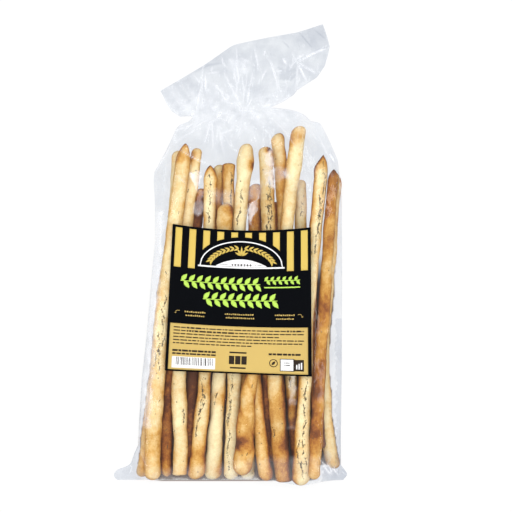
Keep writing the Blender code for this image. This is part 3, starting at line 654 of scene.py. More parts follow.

# Milky or darker areas of the film: corners in order, softness of the border, milkiness and darkening. The
# white over the sticks is mostly painted reflection and veil of the film, and the dark patches at the lower
# right are painted shade.
areas = [
    # painted reflections: the white of these areas over the sticks is reflection and veil of the film
    (((-37.5, 228.5), (-28.4, 228.5), (-31.1, 213.5)), 0.7, .5, 0),
    (((15.5, 212), (7.5, 205), (4.5, 196), (8, 190)), 1.2, .42, 0),
    (((18, 243), (24.5, 245), (23.5, 232), (19, 233)), 2.6, .4, 0),
    (((19, 231), (27, 232), (25, 217), (19, 219)), 2.8, .45, 0),
    (((27, 231), (34, 231), (38, 225), (28, 223)), 4.0, .28, 0),
    (((-34.5, 197.6), (-27, 197.6), (-27, 216), (-31, 216)), 1.0, .2, 0),
    (((-20, 206), (-5, 204), (-5, 214.6), (-22, 214.6)), 3.0, .14, 0),
    (((6.5, 208.7), (15.5, 208.7), (15.5, 222), (8, 222)), 3.0, .2, 0),
    (((41, 222), (50, 226), (52, 197), (44, 195)), 4.0, .14, 0),
    (((43.4, 333.5), (62.7, 339.4), (67.3, 322.2), (53.7, 318.9), (52.8, 322.2)), 0.5, 0, .62),
    (((-60, 290), (-36, 303), (-34, 285), (-45, 270)), 4.0, 0, .5),
    (((27.8, 307.1), (42, 307.1), (42, 297.6), (28.9, 297.6)), 0.7, 0, .8),
    (((-8.1, 313), (5.9, 313), (5.9, 303), (-8.1, 304)), 3.5, .2, 0),
    (((-30, 282), (-19, 281), (-18, 272), (-30, 272)), 2.0, 0, .4),
    (((-63, 230), (-48, 250), (-44, 238), (-60, 205)), 2.0, 0, .12),
    (((66, 250), (74, 232), (74, 205), (69, 215)), 2.0, 0, .3),
    (((70.5, 120), (77, 120), (77, 0), (71.5, 5)), 1.2, .08, 1.0),
    # painted shade: the dark patches at the lower right corner and between the two outer feet
    (((60.5, -3), (60.5, 12), (64, 12), (84, 6.5), (84, -3)), 1.5, .1, 1.6),
    (((60, 11), (63, 22), (66.5, 22), (66.5, 9)), 2.0, .12, .6),
    (((36.8, 80), (40.6, 80), (40.2, 58), (36.4, 58)), 1.6, .2, 0),
    (((-96, 12), (-74, 30), (-74, 0), (-96, 0)), 2.0, .1, .7),
    (((-62, 200), (-56, 200), (-66, 40), (-72, 40)), 2.0, .3, 0),
    (((-70, 16), (20, 18), (70, 24), (70, -6), (-78, -6)), 5.0, .08, 0),
]


def foldField(x, y, lines):
    # For each fold: distance to its nearest stretch and place along it. The height is a sharp ridge that
    # falls off as e to the minus distance over width. The white mark, partly hazy film and partly a painted
    # glint, is a narrow bell that thins out towards both ends, with a faint wide painted highlight on the
    # facet on its left side; the dark mark is the same bell.
    lift, white, dark = np.zeros(x.shape), np.zeros(x.shape), np.zeros(x.shape)
    for points, width, high, milkAndGlint, shade in lines:
        points = np.array(points, float)
        width, milkAndGlint = width * bagShape["foldWidth"], milkAndGlint * bagShape["foldMilkAndGlint"]
        near, side, along = np.full(x.shape, 99.0), np.zeros(x.shape), np.zeros(x.shape)
        reach = np.concatenate([[0], np.cumsum(np.hypot(*np.diff(points, axis=0).T))])
        for k, (a, b) in enumerate(zip(points[:-1], points[1:])):
            run = b - a
            share = np.clip(((x - a[0]) * run[0] + (y - a[1]) * run[1]) / (run @ run), 0, 1)
            away = np.hypot(x - a[0] - share * run[0], y - a[1] - share * run[1])
            closer = away < near
            near = np.where(closer, away, near)
            side = np.where(closer, run[0] * (y - a[1]) - run[1] * (x - a[0]), side)
            along = np.where(closer, (reach[k] + share * (reach[k + 1] - reach[k])) / reach[-1], along)
        lift += high * np.exp(-near / (width * 1.8))
        taper = np.sin(np.pi * np.clip(along, 0.03, 0.97)) ** 0.7
        mark = np.exp(-((near / (width * (0.35 + 0.65 * taper))) ** 2)) * (0.35 + 0.65 * taper)
        facet = 0.3 * taper * np.exp(-near / (5 * width)) * (side > 0)
        white, dark = np.maximum(white, milkAndGlint * np.maximum(mark, facet)), np.maximum(dark, shade * mark)
    return lift, white, dark


def areaField(x, y, shapes):
    # How far inside all the sides of a convex outline a place is, turned into 0 to 1 over the soft border.
    white, dark = np.zeros(x.shape), np.zeros(x.shape)
    for corners, soft, milkAndGlint, shade in shapes:
        corners = np.array(corners, float)
        nextOnes = np.roll(corners, -1, axis=0)
        turned = np.sign(np.sum(corners[:, 0] * nextOnes[:, 1] - corners[:, 1] * nextOnes[:, 0]))
        inside = np.full(x.shape, 99.0)
        for a, b in zip(corners, nextOnes):
            run = (b - a) / np.hypot(*(b - a))
            inside = np.minimum(inside, turned * (run[0] * (y - a[1]) - run[1] * (x - a[0])))
        amount = np.clip(inside / soft + 0.5, 0, 1)
        white, dark = np.maximum(white, milkAndGlint * amount), np.maximum(dark, shade * amount)
    return white, dark


def crumple(x, y, seed, count, longest, shortest):
    # Sum of triangle waves in random directions, each bent by a slow sine, so the film falls into flat facets
    # with sharp borders. Scaled to about -1 to 1.
    dice = np.random.default_rng(seed)
    total, weight = 0.0, 0.0
    for k in range(count):
        length = longest * (shortest / longest) ** (k / (count - 1))
        heading = dice.uniform(0, np.pi)
        across = x * np.cos(heading) + y * np.sin(heading)
        along = y * np.cos(heading) - x * np.sin(heading)
        bow = 0.35 * np.sin(along / (1.3 * length) + dice.uniform(0, 6.28))
        bent = across / length + bow + dice.uniform(0, 1)
        high = length / longest
        total = total + high * (4 * np.abs(bent - np.floor(bent + 0.5)) - 1)
        weight += high**2
    return total / math.sqrt(weight)


def scatteredFolds(seed):
    # Short random folds: fans that spread from the gathered neck, loose ones above the heads, and crinkles in
    # the open mouth, where two of three catch the light and the third is a dark crease.
    dice = np.random.default_rng(seed)
    made = []
    for x0, y0, low, high, count in ((-20, 271, 200, 340, 12), (3, 277, 10, 170, 16), (12, 276, 215, 335, 12),
                                     (-30, 272, 70, 150, 8)):
        for _ in range(count):
            heading = math.radians(dice.uniform(low, high))
            start, reach = dice.uniform(2, 14), dice.uniform(10, 34)
            bend = dice.uniform(-0.25, 0.25)
            run = np.array([start, start + reach * 0.5, start + reach])
            turned = heading + bend * np.array([0, 0.5, 1])
            x = x0 + dice.uniform(-6, 6) + run * np.cos(turned)
            y = y0 + run * np.sin(turned)
            width, rise, milkAndGlint = dice.uniform(0.5, 1.1), dice.uniform(0.3, 0.8), dice.uniform(0.1, 0.5)
            made.append((list(zip(x, y)), width, rise, milkAndGlint, 0))
    for _ in range(40):
        x0, y0 = dice.uniform(-60, 68), dice.uniform(235, 275)
        heading, reach = dice.uniform(0, np.pi), dice.uniform(5, 16)
        ends = [(x0, y0), (x0 + reach * math.cos(heading), y0 + reach * math.sin(heading))]
        made.append((ends, dice.uniform(0.4, 0.8), dice.uniform(0.2, 0.5), dice.uniform(0.05, 0.3), 0))
    for k in range(90):
        x0, y0 = dice.uniform(-50, 58), dice.uniform(274, 322)
        heading, reach, bend = dice.uniform(0.6, 2.6), dice.uniform(3, 12), dice.uniform(-0.4, 0.4)
        run = np.array([0, reach / 2, reach])
        turned = heading + bend * run / reach
        x, y = x0 + run * np.cos(turned), y0 + run * np.sin(turned)
        white, dark = (dice.uniform(0.2, 0.6), 0) if k % 3 else (0, dice.uniform(0.4, 1.0))
        made.append((list(zip(x, y)), dice.uniform(0.35, 0.8), dice.uniform(0.2, 0.6), white, dark))
    return made


filmGrid = {"across": 226, "under": 40, "bodyRows": 250, "mouthRows": 72}


def crowded(count):
    # Shares from 0 to 1 that crowd towards both ends.
    even = np.linspace(0, 1, count)
    return 0.5 * even + 0.5 * (1 - np.cos(np.pi * even)) / 2


def gathers(s):
    # Pleats across the neck: uneven squared sines that shrink towards both sides.
    wave = np.sin(np.pi * bagShape["pleats"] * s + 1.1 * np.sin(9 * s) + 0.6 * np.sin(31 * s)) ** 2
    uneven = bagShape["pleatDepth"] * wave * (0.6 + 0.4 * np.sin(57 * s))
    return uneven * np.sin(np.pi * np.clip(s, 0, 1)) ** 0.5


def filmSheets():
    # Front and back film as rows of points from left to right: draped heights in the outline of the filled
    # part, then the flat fan of the open mouth, with pleats that spread from the neck and die out.
    rows = np.linspace(0, 1, filmGrid["bodyRows"] + 1)
    mouthRows = np.linspace(0, 1, filmGrid["mouthRows"] + 1)
    neck = np.array([bagShape["leftEdge"][-1], bagShape["rightEdge"][-1]], float)
    sheets = {}
    for side, which in (("front", 2), ("under", 3)):
        s = crowded(filmGrid["across" if side == "front" else "under"])
        neckLine = neck[0] + s[:, None] * (neck[1] - neck[0])
        body = coonsPatch(footLine(s), neckLine, edgeByHeight(bagShape["leftEdge"], rows),
                          edgeByHeight(bagShape["rightEdge"], rows), s, rows)
        mouth = coonsPatch(neckLine, pointsAlong(bagShape["mouthHem"], s),
                           pointsAlong(bagShape["mouthLeft"], mouthRows),
                           pointsAlong(bagShape["mouthRight"], mouthRows), s, mouthRows)
        height = sampleHeight(draped, which, body[..., 0], body[..., 1])
        rim = edgeHeight(body[..., 1]) - (0 if side == "front" else bagShape["rimGap"])
        height[:, [0, -1]], height[0] = rim[:, [0, -1]], rim[0]
        r = mouthRows[:, None]
        if side == "front":
            fromNeck = np.linalg.norm(body - body[-1][None], axis=2)
            intoBody, intoMouth = bagShape["pleatReach"]
            height = height + gathers(s)[None] * np.exp(-((fromNeck / intoBody) ** 2))
            rise = np.sin(np.pi * np.clip(s, 0, 1)) ** 0.5
            atNeck, atHem = bagShape["crown"]
            crown = 1.0 + rise[None] * (atNeck * (1 - r) ** 1.5 + atHem)
            far = np.linalg.norm(mouth - mouth[0][None], axis=2)
            pleats = gathers(s)[None] * (0.25 + 0.75 * np.exp(-((far / intoMouth) ** 2)))
            blend = np.clip(r * 3, 0, 1)
            mouthHeight = (1 - blend) * height[-1][None] + blend * (crown + pleats)
        else:
            mouthHeight = (1 - np.clip(r * 4, 0, 1)) * height[-1][None]
        sheets[side] = np.dstack([np.vstack([body, mouth[1:]]), np.vstack([height, mouthHeight[1:]])])
    return sheets["front"], sheets["under"]


creases = {
    "free": (0.3, 3.0),  # how far off the crusts creases start, and over how much more they grow
    "freeAbove": 268,
    "strength": ([0, 200, 235, 262, 280, 320, 340], [0.5, 0.5, 0.9, 1.5, 1.3, 0.8, 0.4]),  # by height
    "broad": 0.45, "fine": 0.12,
    "neckMilkAndGlint": 0.3, "neckRow": (274, 16),  # whiteness of the neck, partly hazy gathered film and partly painted glints, where it is and how far it spreads
    "haze": ([225, 245, 285, 298, 303, 330], [0, .12, .24, .24, .36, .36]),  # darkening of the film by height
}


def filmPiece():
    # The two film sheets with wrinkles and folds in the front one where it hangs loose, and how white and how
    # dark it is at each point, closed by a row of triangles along the foot and along the hem. The white is
    # partly hazy film and partly painted glints and reflections; the dark is partly the film's tint and partly
    # painted shade.
    front, under = filmSheets()
    x, y, z = front[..., 0], front[..., 1], front[..., 2]
    resting = z - sampleHeight(draped, 4, x, y)
    freeFrom, freeOver = creases["free"]
    loose = np.where(y > creases["freeAbove"], 1, np.clip((resting - freeFrom) / freeOver, 0, 1))
    fade = np.clip(np.minimum(np.arange(z.shape[1]), np.arange(z.shape[1])[::-1]) / 5, 0, 1)[None]
    fade = fade * np.clip(np.arange(z.shape[0]) / 4, 0, 1)[:, None]
    fade = fade * np.clip(np.arange(z.shape[0])[::-1] / 3, 0.3, 1)[:, None]
    lift, white, dark = foldField(x, y, folds + scatteredFolds(5))
    shake = 1.1 * crumple(x, y, 21, 4, 9, 3)
    areaWhite, areaDark = areaField(x + shake, y - shake, areas)
    areaWhite = areaWhite * np.clip(0.92 + 0.25 * crumple(x, y, 44, 6, 12, 2.5), 0.4, 1.2)
    wave = creases["broad"] * crumple(x, y, 3, 9, 34, 5) + creases["fine"] * crumple(x, y, 8, 5, 9, 3)
    wrinkled = loose * np.interp(y, *creases["strength"]) * wave
    front[..., 2] = np.maximum(z + fade * (wrinkled + lift * (0.25 + 0.75 * loose)), z - 0.25)
    front[..., 2] = np.minimum(front[..., 2], bagHigh[2] - 0.1)
    for sheet in (front, under):  # the sharp corners end where the solid's own do
        for axis in (0, 1):
            least, most = bagLow[axis] + centre[axis], bagHigh[axis] + centre[axis]
            sheet[..., axis] = np.clip(sheet[..., axis], least, most)
    row, spread = creases["neckRow"]
    # the neck turns white, partly hazy gathered film and partly painted glints
    neckMilkAndGlint = creases["neckMilkAndGlint"] * np.exp(-(((y - row) / spread) ** 2))
    neckMilkAndGlint = neckMilkAndGlint * (0.6 + 0.4 * crumple(x, y, 12, 5, 12, 4))
    milkAndGlint = np.maximum(np.maximum(white, areaWhite), np.clip(neckMilkAndGlint, 0, 1))
    dark = np.maximum(dark, areaDark)
    haze = np.interp(y, *creases["haze"])
    dark = np.maximum(dark, haze * (0.8 + 0.7 * crumple(x, y, 33, 7, 24, 3.5)))
    dark = np.clip(dark * (1 - 0.8 * milkAndGlint), 0, 1.6)
    rings = np.concatenate([front, under[:, ::-1]], axis=1)
    count, around = rings.shape[:2]
    values = {}
    for key, field in (("milkAndGlint", milkAndGlint), ("dark", dark)):
        values[key] = np.concatenate([field, np.zeros(under.shape[:2])], axis=1)
    across, below = front.shape[1], under.shape[1]
    match = np.clip(np.rint(np.arange(below) / (below - 1) * (across - 1)).astype(int), 0, across - 1)
    caps = []
    for start, turned in ((0, False), ((count - 1) * around, True)):
        lower = start + around - 1 - np.arange(below)  # back points from left to right
        owner = np.clip(np.searchsorted(match, np.arange(across - 1), side="right") - 1, 0, below - 2)
        fan = np.stack([start + np.arange(across - 1), lower[owner], start + np.arange(1, across)], axis=1)
        step = np.stack([start + match[1:], lower[:-1], lower[1:]], axis=1)
        both = np.vstack([fan, step])
        caps.append(both[:, ::-1] if turned else both)
    return makeMesh("film", rings, gridQuads(count, around, True), np.vstack(caps), values)


filmObject = filmPiece()
print("film made")


def paperHeight(x, y):
    # Height of the paper's underside: the stiffened film under it plus the gap.
    return sampleHeight(draped, 2, x, y) + labelShape["gap"]


def slab(lower, upper, across, bottom, top):
    # A thin closed sheet between two matching edge lines of the label. Points blend straight from one edge
    # to the other, follow the paper's height, and take a second skin below for the thickness.
    t = np.linspace(0, 1, across)[None, :, None]
    flat = (1 - t) * lower[:, None] + t * upper[:, None]
    plan = labelPlan(flat[..., 0] / labelShape["size"][0], flat[..., 1] / labelShape["size"][1])
    z = paperHeight(plan[..., 0], plan[..., 1])
    high, low = np.dstack([plan, z + top]), np.dstack([plan, z + bottom])
    rings = np.concatenate([high, low[:, ::-1]], axis=1)
    count, around = rings.shape[:2]
    k = np.arange(across - 1)
    closing = np.stack([k, around - 1 - k, around - 2 - k, k + 1], axis=1)
    quads = np.vstack([gridQuads(count, around, True), closing, closing[:, ::-1] + (count - 1) * around])
    return rings.reshape(-1, 3), quads


def line(a, b, count):
    # Evenly spaced points from a to b.
    return np.array(a, float) + np.linspace(0, 1, count)[:, None] * (np.array(b, float) - np.array(a, float))


def box(x0, y0, x1, y1):
    # A rectangle as its lower and upper edges.
    count = max(2, int(abs(x1 - x0) / 1.3) + 2)
    return line((x0, y0), (x1, y0), count), line((x0, y1), (x1, y1), count)


def leaf(x, y, length, width, heading):
    # A leaf: both edges swell from the stalk as a sine skewed towards the base.
    share = np.linspace(0, 1, 9)
    swell = width / 2 * np.sin(np.pi * np.clip(share, 0.02, 0.98) ** 0.8)
    run = np.array([math.cos(heading), math.sin(heading)])
    side = np.array([-math.sin(heading), math.cos(heading)])
    spine = np.array([x, y]) + share[:, None] * length * run
    return spine - swell[:, None] * side, spine + swell[:, None] * side


def ring(x, y, radius, width, start=0.0, stop=360.0):
    # A round band, or a stretch of it, as its inner and outer edges.
    angle = np.radians(np.linspace(start, stop, 28))
    unit = np.stack([np.cos(angle), np.sin(angle)], axis=1)
    return np.array([x, y]) + unit * (radius - width), np.array([x, y]) + unit * radius


def sprig(x0, y0, x1, height, pairs, fat):
    # A straight stem with leaves in pairs that lean towards its tip.
    shapes = [box(x0, y0 - 0.35, x1, y0 + 0.35)]
    step = (x1 - x0) / pairs
    for k in range(pairs):
        for sign in (1, -1):
            stalk = x0 + (k + (0.1 if sign > 0 else 0.45)) * step
            shapes.append(leaf(stalk, y0 + sign * 0.2, height * 0.62, fat, sign * math.radians(52)))
    return shapes


emblem = {
    "x": 53.3, "y": 83.0, "half": 31.5, "high": 20.5,
    "outline": (0.972, 0.957),  # inner edge of the outline as a share of the outer one, across and up
    "lensHalf": 19, "lensHigh": 5.4,
    "earAcross": 24.6, "earUp": 14.8, "earLeaf": (4.4, 1.5),
    "stripeHalf": 33.4, "stripeHigh": 21.5,  # the stripes behind it keep this far off
}


def dome(x, base, half, high):
    # Half an ellipse over the emblem's middle.
    return base + high * np.sqrt(np.clip(1 - ((x - emblem["x"]) / half) ** 2, 0, 1))


def dashes(at, stop, last, drawWide, drawGap):
    # A row of dashes as their left and right ends: each is as wide, and as far from the next, as the two draws
    # say, and none starts past last.
    while at < last:
        wide = drawWide()
        yield at, min(at + wide, stop)
        at += wide + drawGap()


def emblemPrint(gold, white, ink):
    # A white outlined dome on a bar, with a lens at its foot, two curved ears and a fan of five leaves.
    middle, base = emblem["x"], emblem["y"]
    x = np.linspace(middle - emblem["half"], middle + emblem["half"], 60)
    outer = np.stack([x, np.maximum(dome(x, base, emblem["half"], emblem["high"]), base + 0.2)], axis=1)
    across, up = emblem["outline"]
    inner = np.stack([middle + (x - middle) * across, base + (outer[:, 1] - base) * up], axis=1)
    white.append((inner, outer))
    white.append(box(20.6, 82.1, 86.0, 83.3))
    bend = np.linspace(-1, 1, 30)
    lensX = middle + emblem["lensHalf"] * bend
    lens = np.stack([lensX, 83.9 + emblem["lensHigh"] * (1 - bend**2)], axis=1)
    white.append((np.stack([lensX, np.full(30, 83.5)], axis=1), lens))
    for sign in (1, -1):
        for k in range(9):
            angle = math.radians(90 - sign * (5 + 8.1 * k))
            earX = middle + emblem["earAcross"] * math.cos(angle)
            earY = base + emblem["earUp"] * math.sin(angle)
            for tilt in (0.5, -0.5):
                gold.append(leaf(earX, earY, *emblem["earLeaf"], angle - sign * (math.pi / 2 - 0.15) + tilt))
    for k in range(5):
        gold.append(leaf(middle, 92.2, 7.2 - abs(k - 2) * 0.8, 1.7, math.radians(90 + (k - 2) * 32)))
    ink.append(box(36, 84.6, 43, 85.1))
    ink.append(box(63, 84.6, 70, 85.1))
    for k in range(7):
        ink.append(ring(46.5 + 2.3 * k, 84.9, 0.8, 0.8))


def labelPrint():
    # Every coloured field of the label, in millimetres from its lower left corner.
    gold, lime, white, ink, panel = [], [], [], [], []
    for k in range(10):  # stripes that hang from the upper edge down to the emblem
        left = 2.5 + 10.63 * k + 0.02 * k
        xs = line((left, 0), (left + 5.2, 0), 6)
        x = xs[:, 0]
        arch = dome(x, 85, emblem["stripeHalf"], emblem["stripeHigh"])
        lower = np.where(np.abs(x - emblem["x"]) < emblem["stripeHalf"], arch, 80)
        gold.append((np.stack([x, lower], axis=1), np.stack([x, np.full(6, 110.2)], axis=1)))
    emblemPrint(gold, white, ink)
    lime += sprig(8.2, 69.9, 67.8, 10.6, 10, 3.4)
    lime += sprig(70.8, 72.9, 97.6, 6.2, 6, 2.3)
    lime.append(box(70.7, 67.1, 97.7, 68.1))
    lime += sprig(25.4, 57.2, 80.6, 11.2, 9, 3.6)
    for x0, x1 in ((12.3, 28.1), (42.0, 64.3), (79.0, 93.9)):  # three words in two rows
        for row, inset in ((46.2, 0.0), (43.4, 0.8)):
            dice = np.random.default_rng(int(x0 * 10 + row))
            word = dashes(x0 + inset, x1, x1 - 1.2, lambda: dice.uniform(0.7, 1.5), lambda: 0.45)
            for left, right in word:
                panel.append(box(left, row - 0.5, right, row + dice.uniform(0.3, 0.8)))
    for x, eye, start in ((5.2, 0.4, 60), (94.6, 4.6, 35)):  # a curl at each end of them
        panel.append(ring(x + 2.4, 44.6, 2.4, 0.35, start, start + 85))
        panel.append(ring(x + eye, 45.0, 0.55, 0.55))
    panel.append(box(2.1, 1.3, 103.3, 36.8))
    dice = np.random.default_rng(17)
    # fine print in six rows, with its first words bold
    rows = ((33.9, 100.4), (31.5, 100.2), (29.1, 82), (26.6, 100.3), (24.2, 100), (21.8, 62))
    boldWords = ((0, 1), (1, 1), (1, 2), (1, 3), (0, 7))
    for row, (y, stop) in enumerate(rows):
        words = dashes(4.8, stop, stop - 1, lambda: dice.uniform(1.2, 5.5), lambda: dice.uniform(0.5, 0.8))
        for left, right in words:
            bold = 0.62 if (row, int(left / 12)) in boldWords else 0.42
            ink.append(box(left, y - bold, right, y + bold))
    for y, bold in ((16.1, 0.75), (13.7, 0.6)):
        for left, right in dashes(4.6, 36.3, 35, lambda: dice.uniform(1.6, 5), lambda: 0.5):
            ink.append(box(left, y - bold, right, y + bold))
    white.append(box(4.6, 2.6, 36.1, 11.4))  # bars on a white field
    thick, apart = [0.3, 0.3, 0.55, 0.85], [0.3, 0.45, 0.7]
    for left, right in dashes(7.6, 36.1, 34.4, lambda: dice.choice(thick), lambda: dice.choice(apart)):
        ink.append(box(left, 5.0, right, 10.9))
    for corners in ((46.2, 15.9, 58.6, 17.1), (46.0, 7.4, 49.8, 13.9), (50.5, 7.4, 54.3, 13.9),
                    (55.0, 7.4, 58.8, 13.9), (46.8, 4.0, 58.2, 5.2)):
        ink.append(box(*corners))
    for left, right in dashes(74.6, 99.6, 98, lambda: dice.uniform(1.4, 4.2), lambda: 0.5):
        ink.append(box(left, 15.4, right, 16.9))
    ink.append(ring(78.2, 9.3, 3.1, 0.6))
    ink.append(leaf(76.9, 7.9, 4.0, 1.9, math.radians(48)))
    ink.append(box(93.0, 3.6, 100.3, 12.3))
    ink.append(box(82.9, 3.3, 93.4, 12.9))
    white.append(box(83.4, 3.8, 92.6, 12.4))
    for y in (9.4, 7.6):
        ink.append(box(85.0, y, 90.2, y + 0.7))
    for k in range(3):
        left = 94.6 + 1.7 * k
        white.append(box(left, 5.0, left + 1.0, 8.6 + 0.8 * k))
    return {"printPanel": panel, "printGold": gold, "printLime": lime, "printInk": ink, "printWhite": white}


# How high each colour stands on the paper, in millimetres, so that one printed over another shows.
inkLifts = {"printPanel": 0.05, "printGold": 0.05, "printLime": 0.05, "printInk": 0.10, "printWhite": 0.10}


def printPiece(name, shapes, lift):
    # All fields of one colour as one mesh of thin slabs.
    points, quads, start = [], [], 0
    for lower, upper in shapes:
        tall = np.hypot(*(upper - lower).T).max()
        under = 0.03 if name == "printInk" and tall > 8 else 0  # large dark boxes lie under the white ones
        corners, faces = slab(lower, upper, int(np.clip(tall / 1.6 + 2, 2, 40)), labelShape["thick"] - 0.1,
                              labelShape["thick"] + (lift - under))
        points.append(corners)
        quads.append(faces + start)
        start += len(corners)
    return makeMesh(name, np.vstack(points), np.vstack(quads))


def paperPiece():
    # The label itself, one slab bent over the film.
    wide, tall = labelShape["size"]
    lower, upper = line((0, 0), (wide, 0), 108), line((0, tall), (wide, tall), 108)
    points, quads = slab(lower, upper, 112, 0.0, labelShape["thick"])
    return makeMesh("labelPaper", points, quads)


paperObject = paperPiece()
printPieces = [printPiece(name, shapes, inkLifts[name]) for name, shapes in labelPrint().items()]
print("label printed:", [p.name for p in printPieces])


class Nodes:
    # Short names for building a material's nodes.
    def __init__(self, name):
        self.material = bpy.data.materials.new(name)
        self.material.use_nodes = True
        self.tree = self.material.node_tree
        self.tree.nodes.clear()

    def add(self, kind, inputs=None, **settings):
        node = self.tree.nodes.new("ShaderNode" + kind)
        for key, value in settings.items():
            setattr(node, key, value)
        for key, value in (inputs or {}).items():
            if isinstance(value, bpy.types.NodeSocket):
                self.tree.links.new(value, node.inputs[key])
            else:
                node.inputs[key].default_value = value
        return node

    def maths(self, kind, a, b=0.0, c=0.0, clamp=False):
        return self.add("Math", {0: a, 1: b, 2: c}, operation=kind, use_clamp=clamp).outputs[0]

    def noise(self, vector, scale, detail=3.0, rough=0.5):
        inputs = {"Vector": vector, "Scale": scale, "Detail": detail, "Roughness": rough}
        return self.add("TexNoise", inputs).outputs["Fac"]

    def span(self, value, low, high, toLow, toHigh, smooth=True):
        kind = "SMOOTHSTEP" if smooth else "LINEAR"
        inputs = {"Value": value, 1: low, 2: high, 3: toLow, 4: toHigh}
        return self.add("MapRange", inputs, interpolation_type=kind).outputs[0]

    def blend(self, share, a, b):
        return self.add("Mix", {0: share, 6: a, 7: b}, data_type="RGBA").outputs[2]

    def place(self):
        return self.add("TexCoord").outputs["Object"]

    def squeezed(self, vector, lengthwise):
        # The same place with its y counted less, which draws a pattern out along the sticks.
        return self.add("Mapping", {"Vector": vector, "Scale": (1, lengthwise, 1)}).outputs[0]

    def attribute(self, name):
        return self.add("Attribute", attribute_name=name).outputs["Fac"]

    def cells(self, vector, scale):
        return self.add("TexVoronoi", {"Vector": vector, "Scale": scale}).outputs["Distance"]

    def bump(self, strength, distance, height):
        return self.add("Bump", {"Strength": strength, "Distance": distance, "Height": height}).outputs[0]

    def principled(self, colour, rough, bump, specular=0.5):
        inputs = {"Base Color": colour, "Roughness": rough, "Normal": bump, "Specular IOR Level": specular}
        return self.output(self.add("BsdfPrincipled", inputs).outputs[0])

    def ramp(self, value, stops):
        node = self.add("ValToRGB", {"Fac": value})
        node.color_ramp.elements.remove(node.color_ramp.elements[1])
        first = node.color_ramp.elements[0]
        first.position, first.color = stops[0][0], (*stops[0][1], 1)
        for at, colour in stops[1:]:
            node.color_ramp.elements.new(at).color = (*colour, 1)
        return node.outputs["Color"]

    def output(self, shader):
        self.add("OutputMaterial", {"Surface": shader})
        return self.material


crustLook = {
    "stops": ((0.0, (.92, .79, .465)), (.2, (.81, .645, .345)), (.4, (.73, .475, .185)),
              (.55, (.62, .325, .070)), (.7, (.48, .20, .030)), (.85, (.29, .09, .018)),
              (1.0, (.12, .035, .012))),
    "paintedShadeColour": (.06, .075, .05, 1),
    "crackColour": (.10, .065, .03, 1),
    "crackWidth": (0.2, 0.62),
    "roughness": (.5, .72),
    "bump": 0.35,
}


def crustMaterial():
    # Baked dough: the brown attribute with noise picks the tone, and cracks, herb specks and pores lie on it.
    n = Nodes("bakedCrust")
    where = n.place()
    seam = n.attribute("crackDistance")
    mottle = n.noise(where, 95, 4, 0.6)
    streak = n.noise(n.squeezed(where, 0.3), 420, 3, 0.6)
    patch = n.noise(where, 340, 3, 0.55)
    grain = n.noise(where, 1300, 3, 0.65)
    tone = n.attribute("brown")
    for pattern, low, depth in ((mottle, .25, .09), (streak, .3, .045), (patch, .3, .07), (grain, .3, .085)):
        tone = n.maths("ADD", tone, n.span(pattern, low, 1 - low, -depth, depth, False))
    colour = n.ramp(tone, crustLook["stops"])
    # painted shade: parts of some sticks are darkened towards near black where they lie in shade
    colour = n.blend(n.attribute("paintedShade"), colour, crustLook["paintedShadeColour"])
    # cracks: the distance to the crack's middle is shaken by noise, and gaps are cut along it
    shaken = n.maths("ADD", seam, n.span(n.noise(where, 520, 4, 0.65), .3, .7, -0.58, 0.58, False))
    mark = n.span(n.maths("ABSOLUTE", shaken), *crustLook["crackWidth"], 1, 0)
    broken = n.span(n.noise(n.squeezed(where, .6), 330, 2, .5), .41, .50, 0, 1)
    crack = n.maths("MULTIPLY", mark, broken)
    # small specks of herb, thick beside cracks and thin elsewhere
    close = n.maths("MULTIPLY", n.span(n.cells(where, 520), .16, .26, 1, 0), n.span(seam, 1.0, 2.4, 1, 0))
    apart = n.span(n.cells(where, 130), .055, .085, .8, 0)
    marks = n.maths("MAXIMUM", crack, n.maths("MAXIMUM", n.maths("MULTIPLY", close, .75), apart))
    colour = n.blend(marks, colour, crustLook["crackColour"])
    pores = n.maths("MULTIPLY", n.span(n.cells(where, 700), .0, .35, -.5, 0), .6)
    height = n.maths("ADD", n.maths("MULTIPLY", grain, .5), pores)
    height = n.maths("ADD", height, n.maths("MULTIPLY", n.noise(where, 330, 3, .5), 1.2))
    height = n.maths("SUBTRACT", height, n.maths("MULTIPLY", marks, .8))
    rough = n.span(mottle, .3, .7, *crustLook["roughness"], False)
    return n.principled(colour, rough, n.bump(crustLook["bump"], 0.0007, height), 0.35)


def herbMaterial():
    # Dry leaves, each with its own shade of brown green.
    n = Nodes("driedHerb")
    where = n.place()
    shade = n.maths("MULTIPLY", n.attribute("shade"), .7)
    mix = n.maths("ADD", shade, n.maths("MULTIPLY", n.noise(where, 900, 3), .3))
    colour = n.ramp(mix, ((0, (.035, .03, .014)), (.5, (.085, .06, .028)), (1, (.15, .115, .05))))
    return n.principled(colour, .7, n.bump(.3, 0.0002, n.noise(where, 2600, 2)))


filmLook = {
    "clear": (.936, .951, .970, 1),  # light let through by one skin
    "dark": (.622, .653, .714, 1),  # the same at its darkest, in dark folds and in patches of painted shade
    "darkShare": 0.625,
    # white of hazy film and of painted glints and reflections
    "milkAndGlintWhite": (.93, .935, .96, 1),
    "milkShare": 0.004,
    "gloss": 0.06,
    "mirror": 0.04,
}


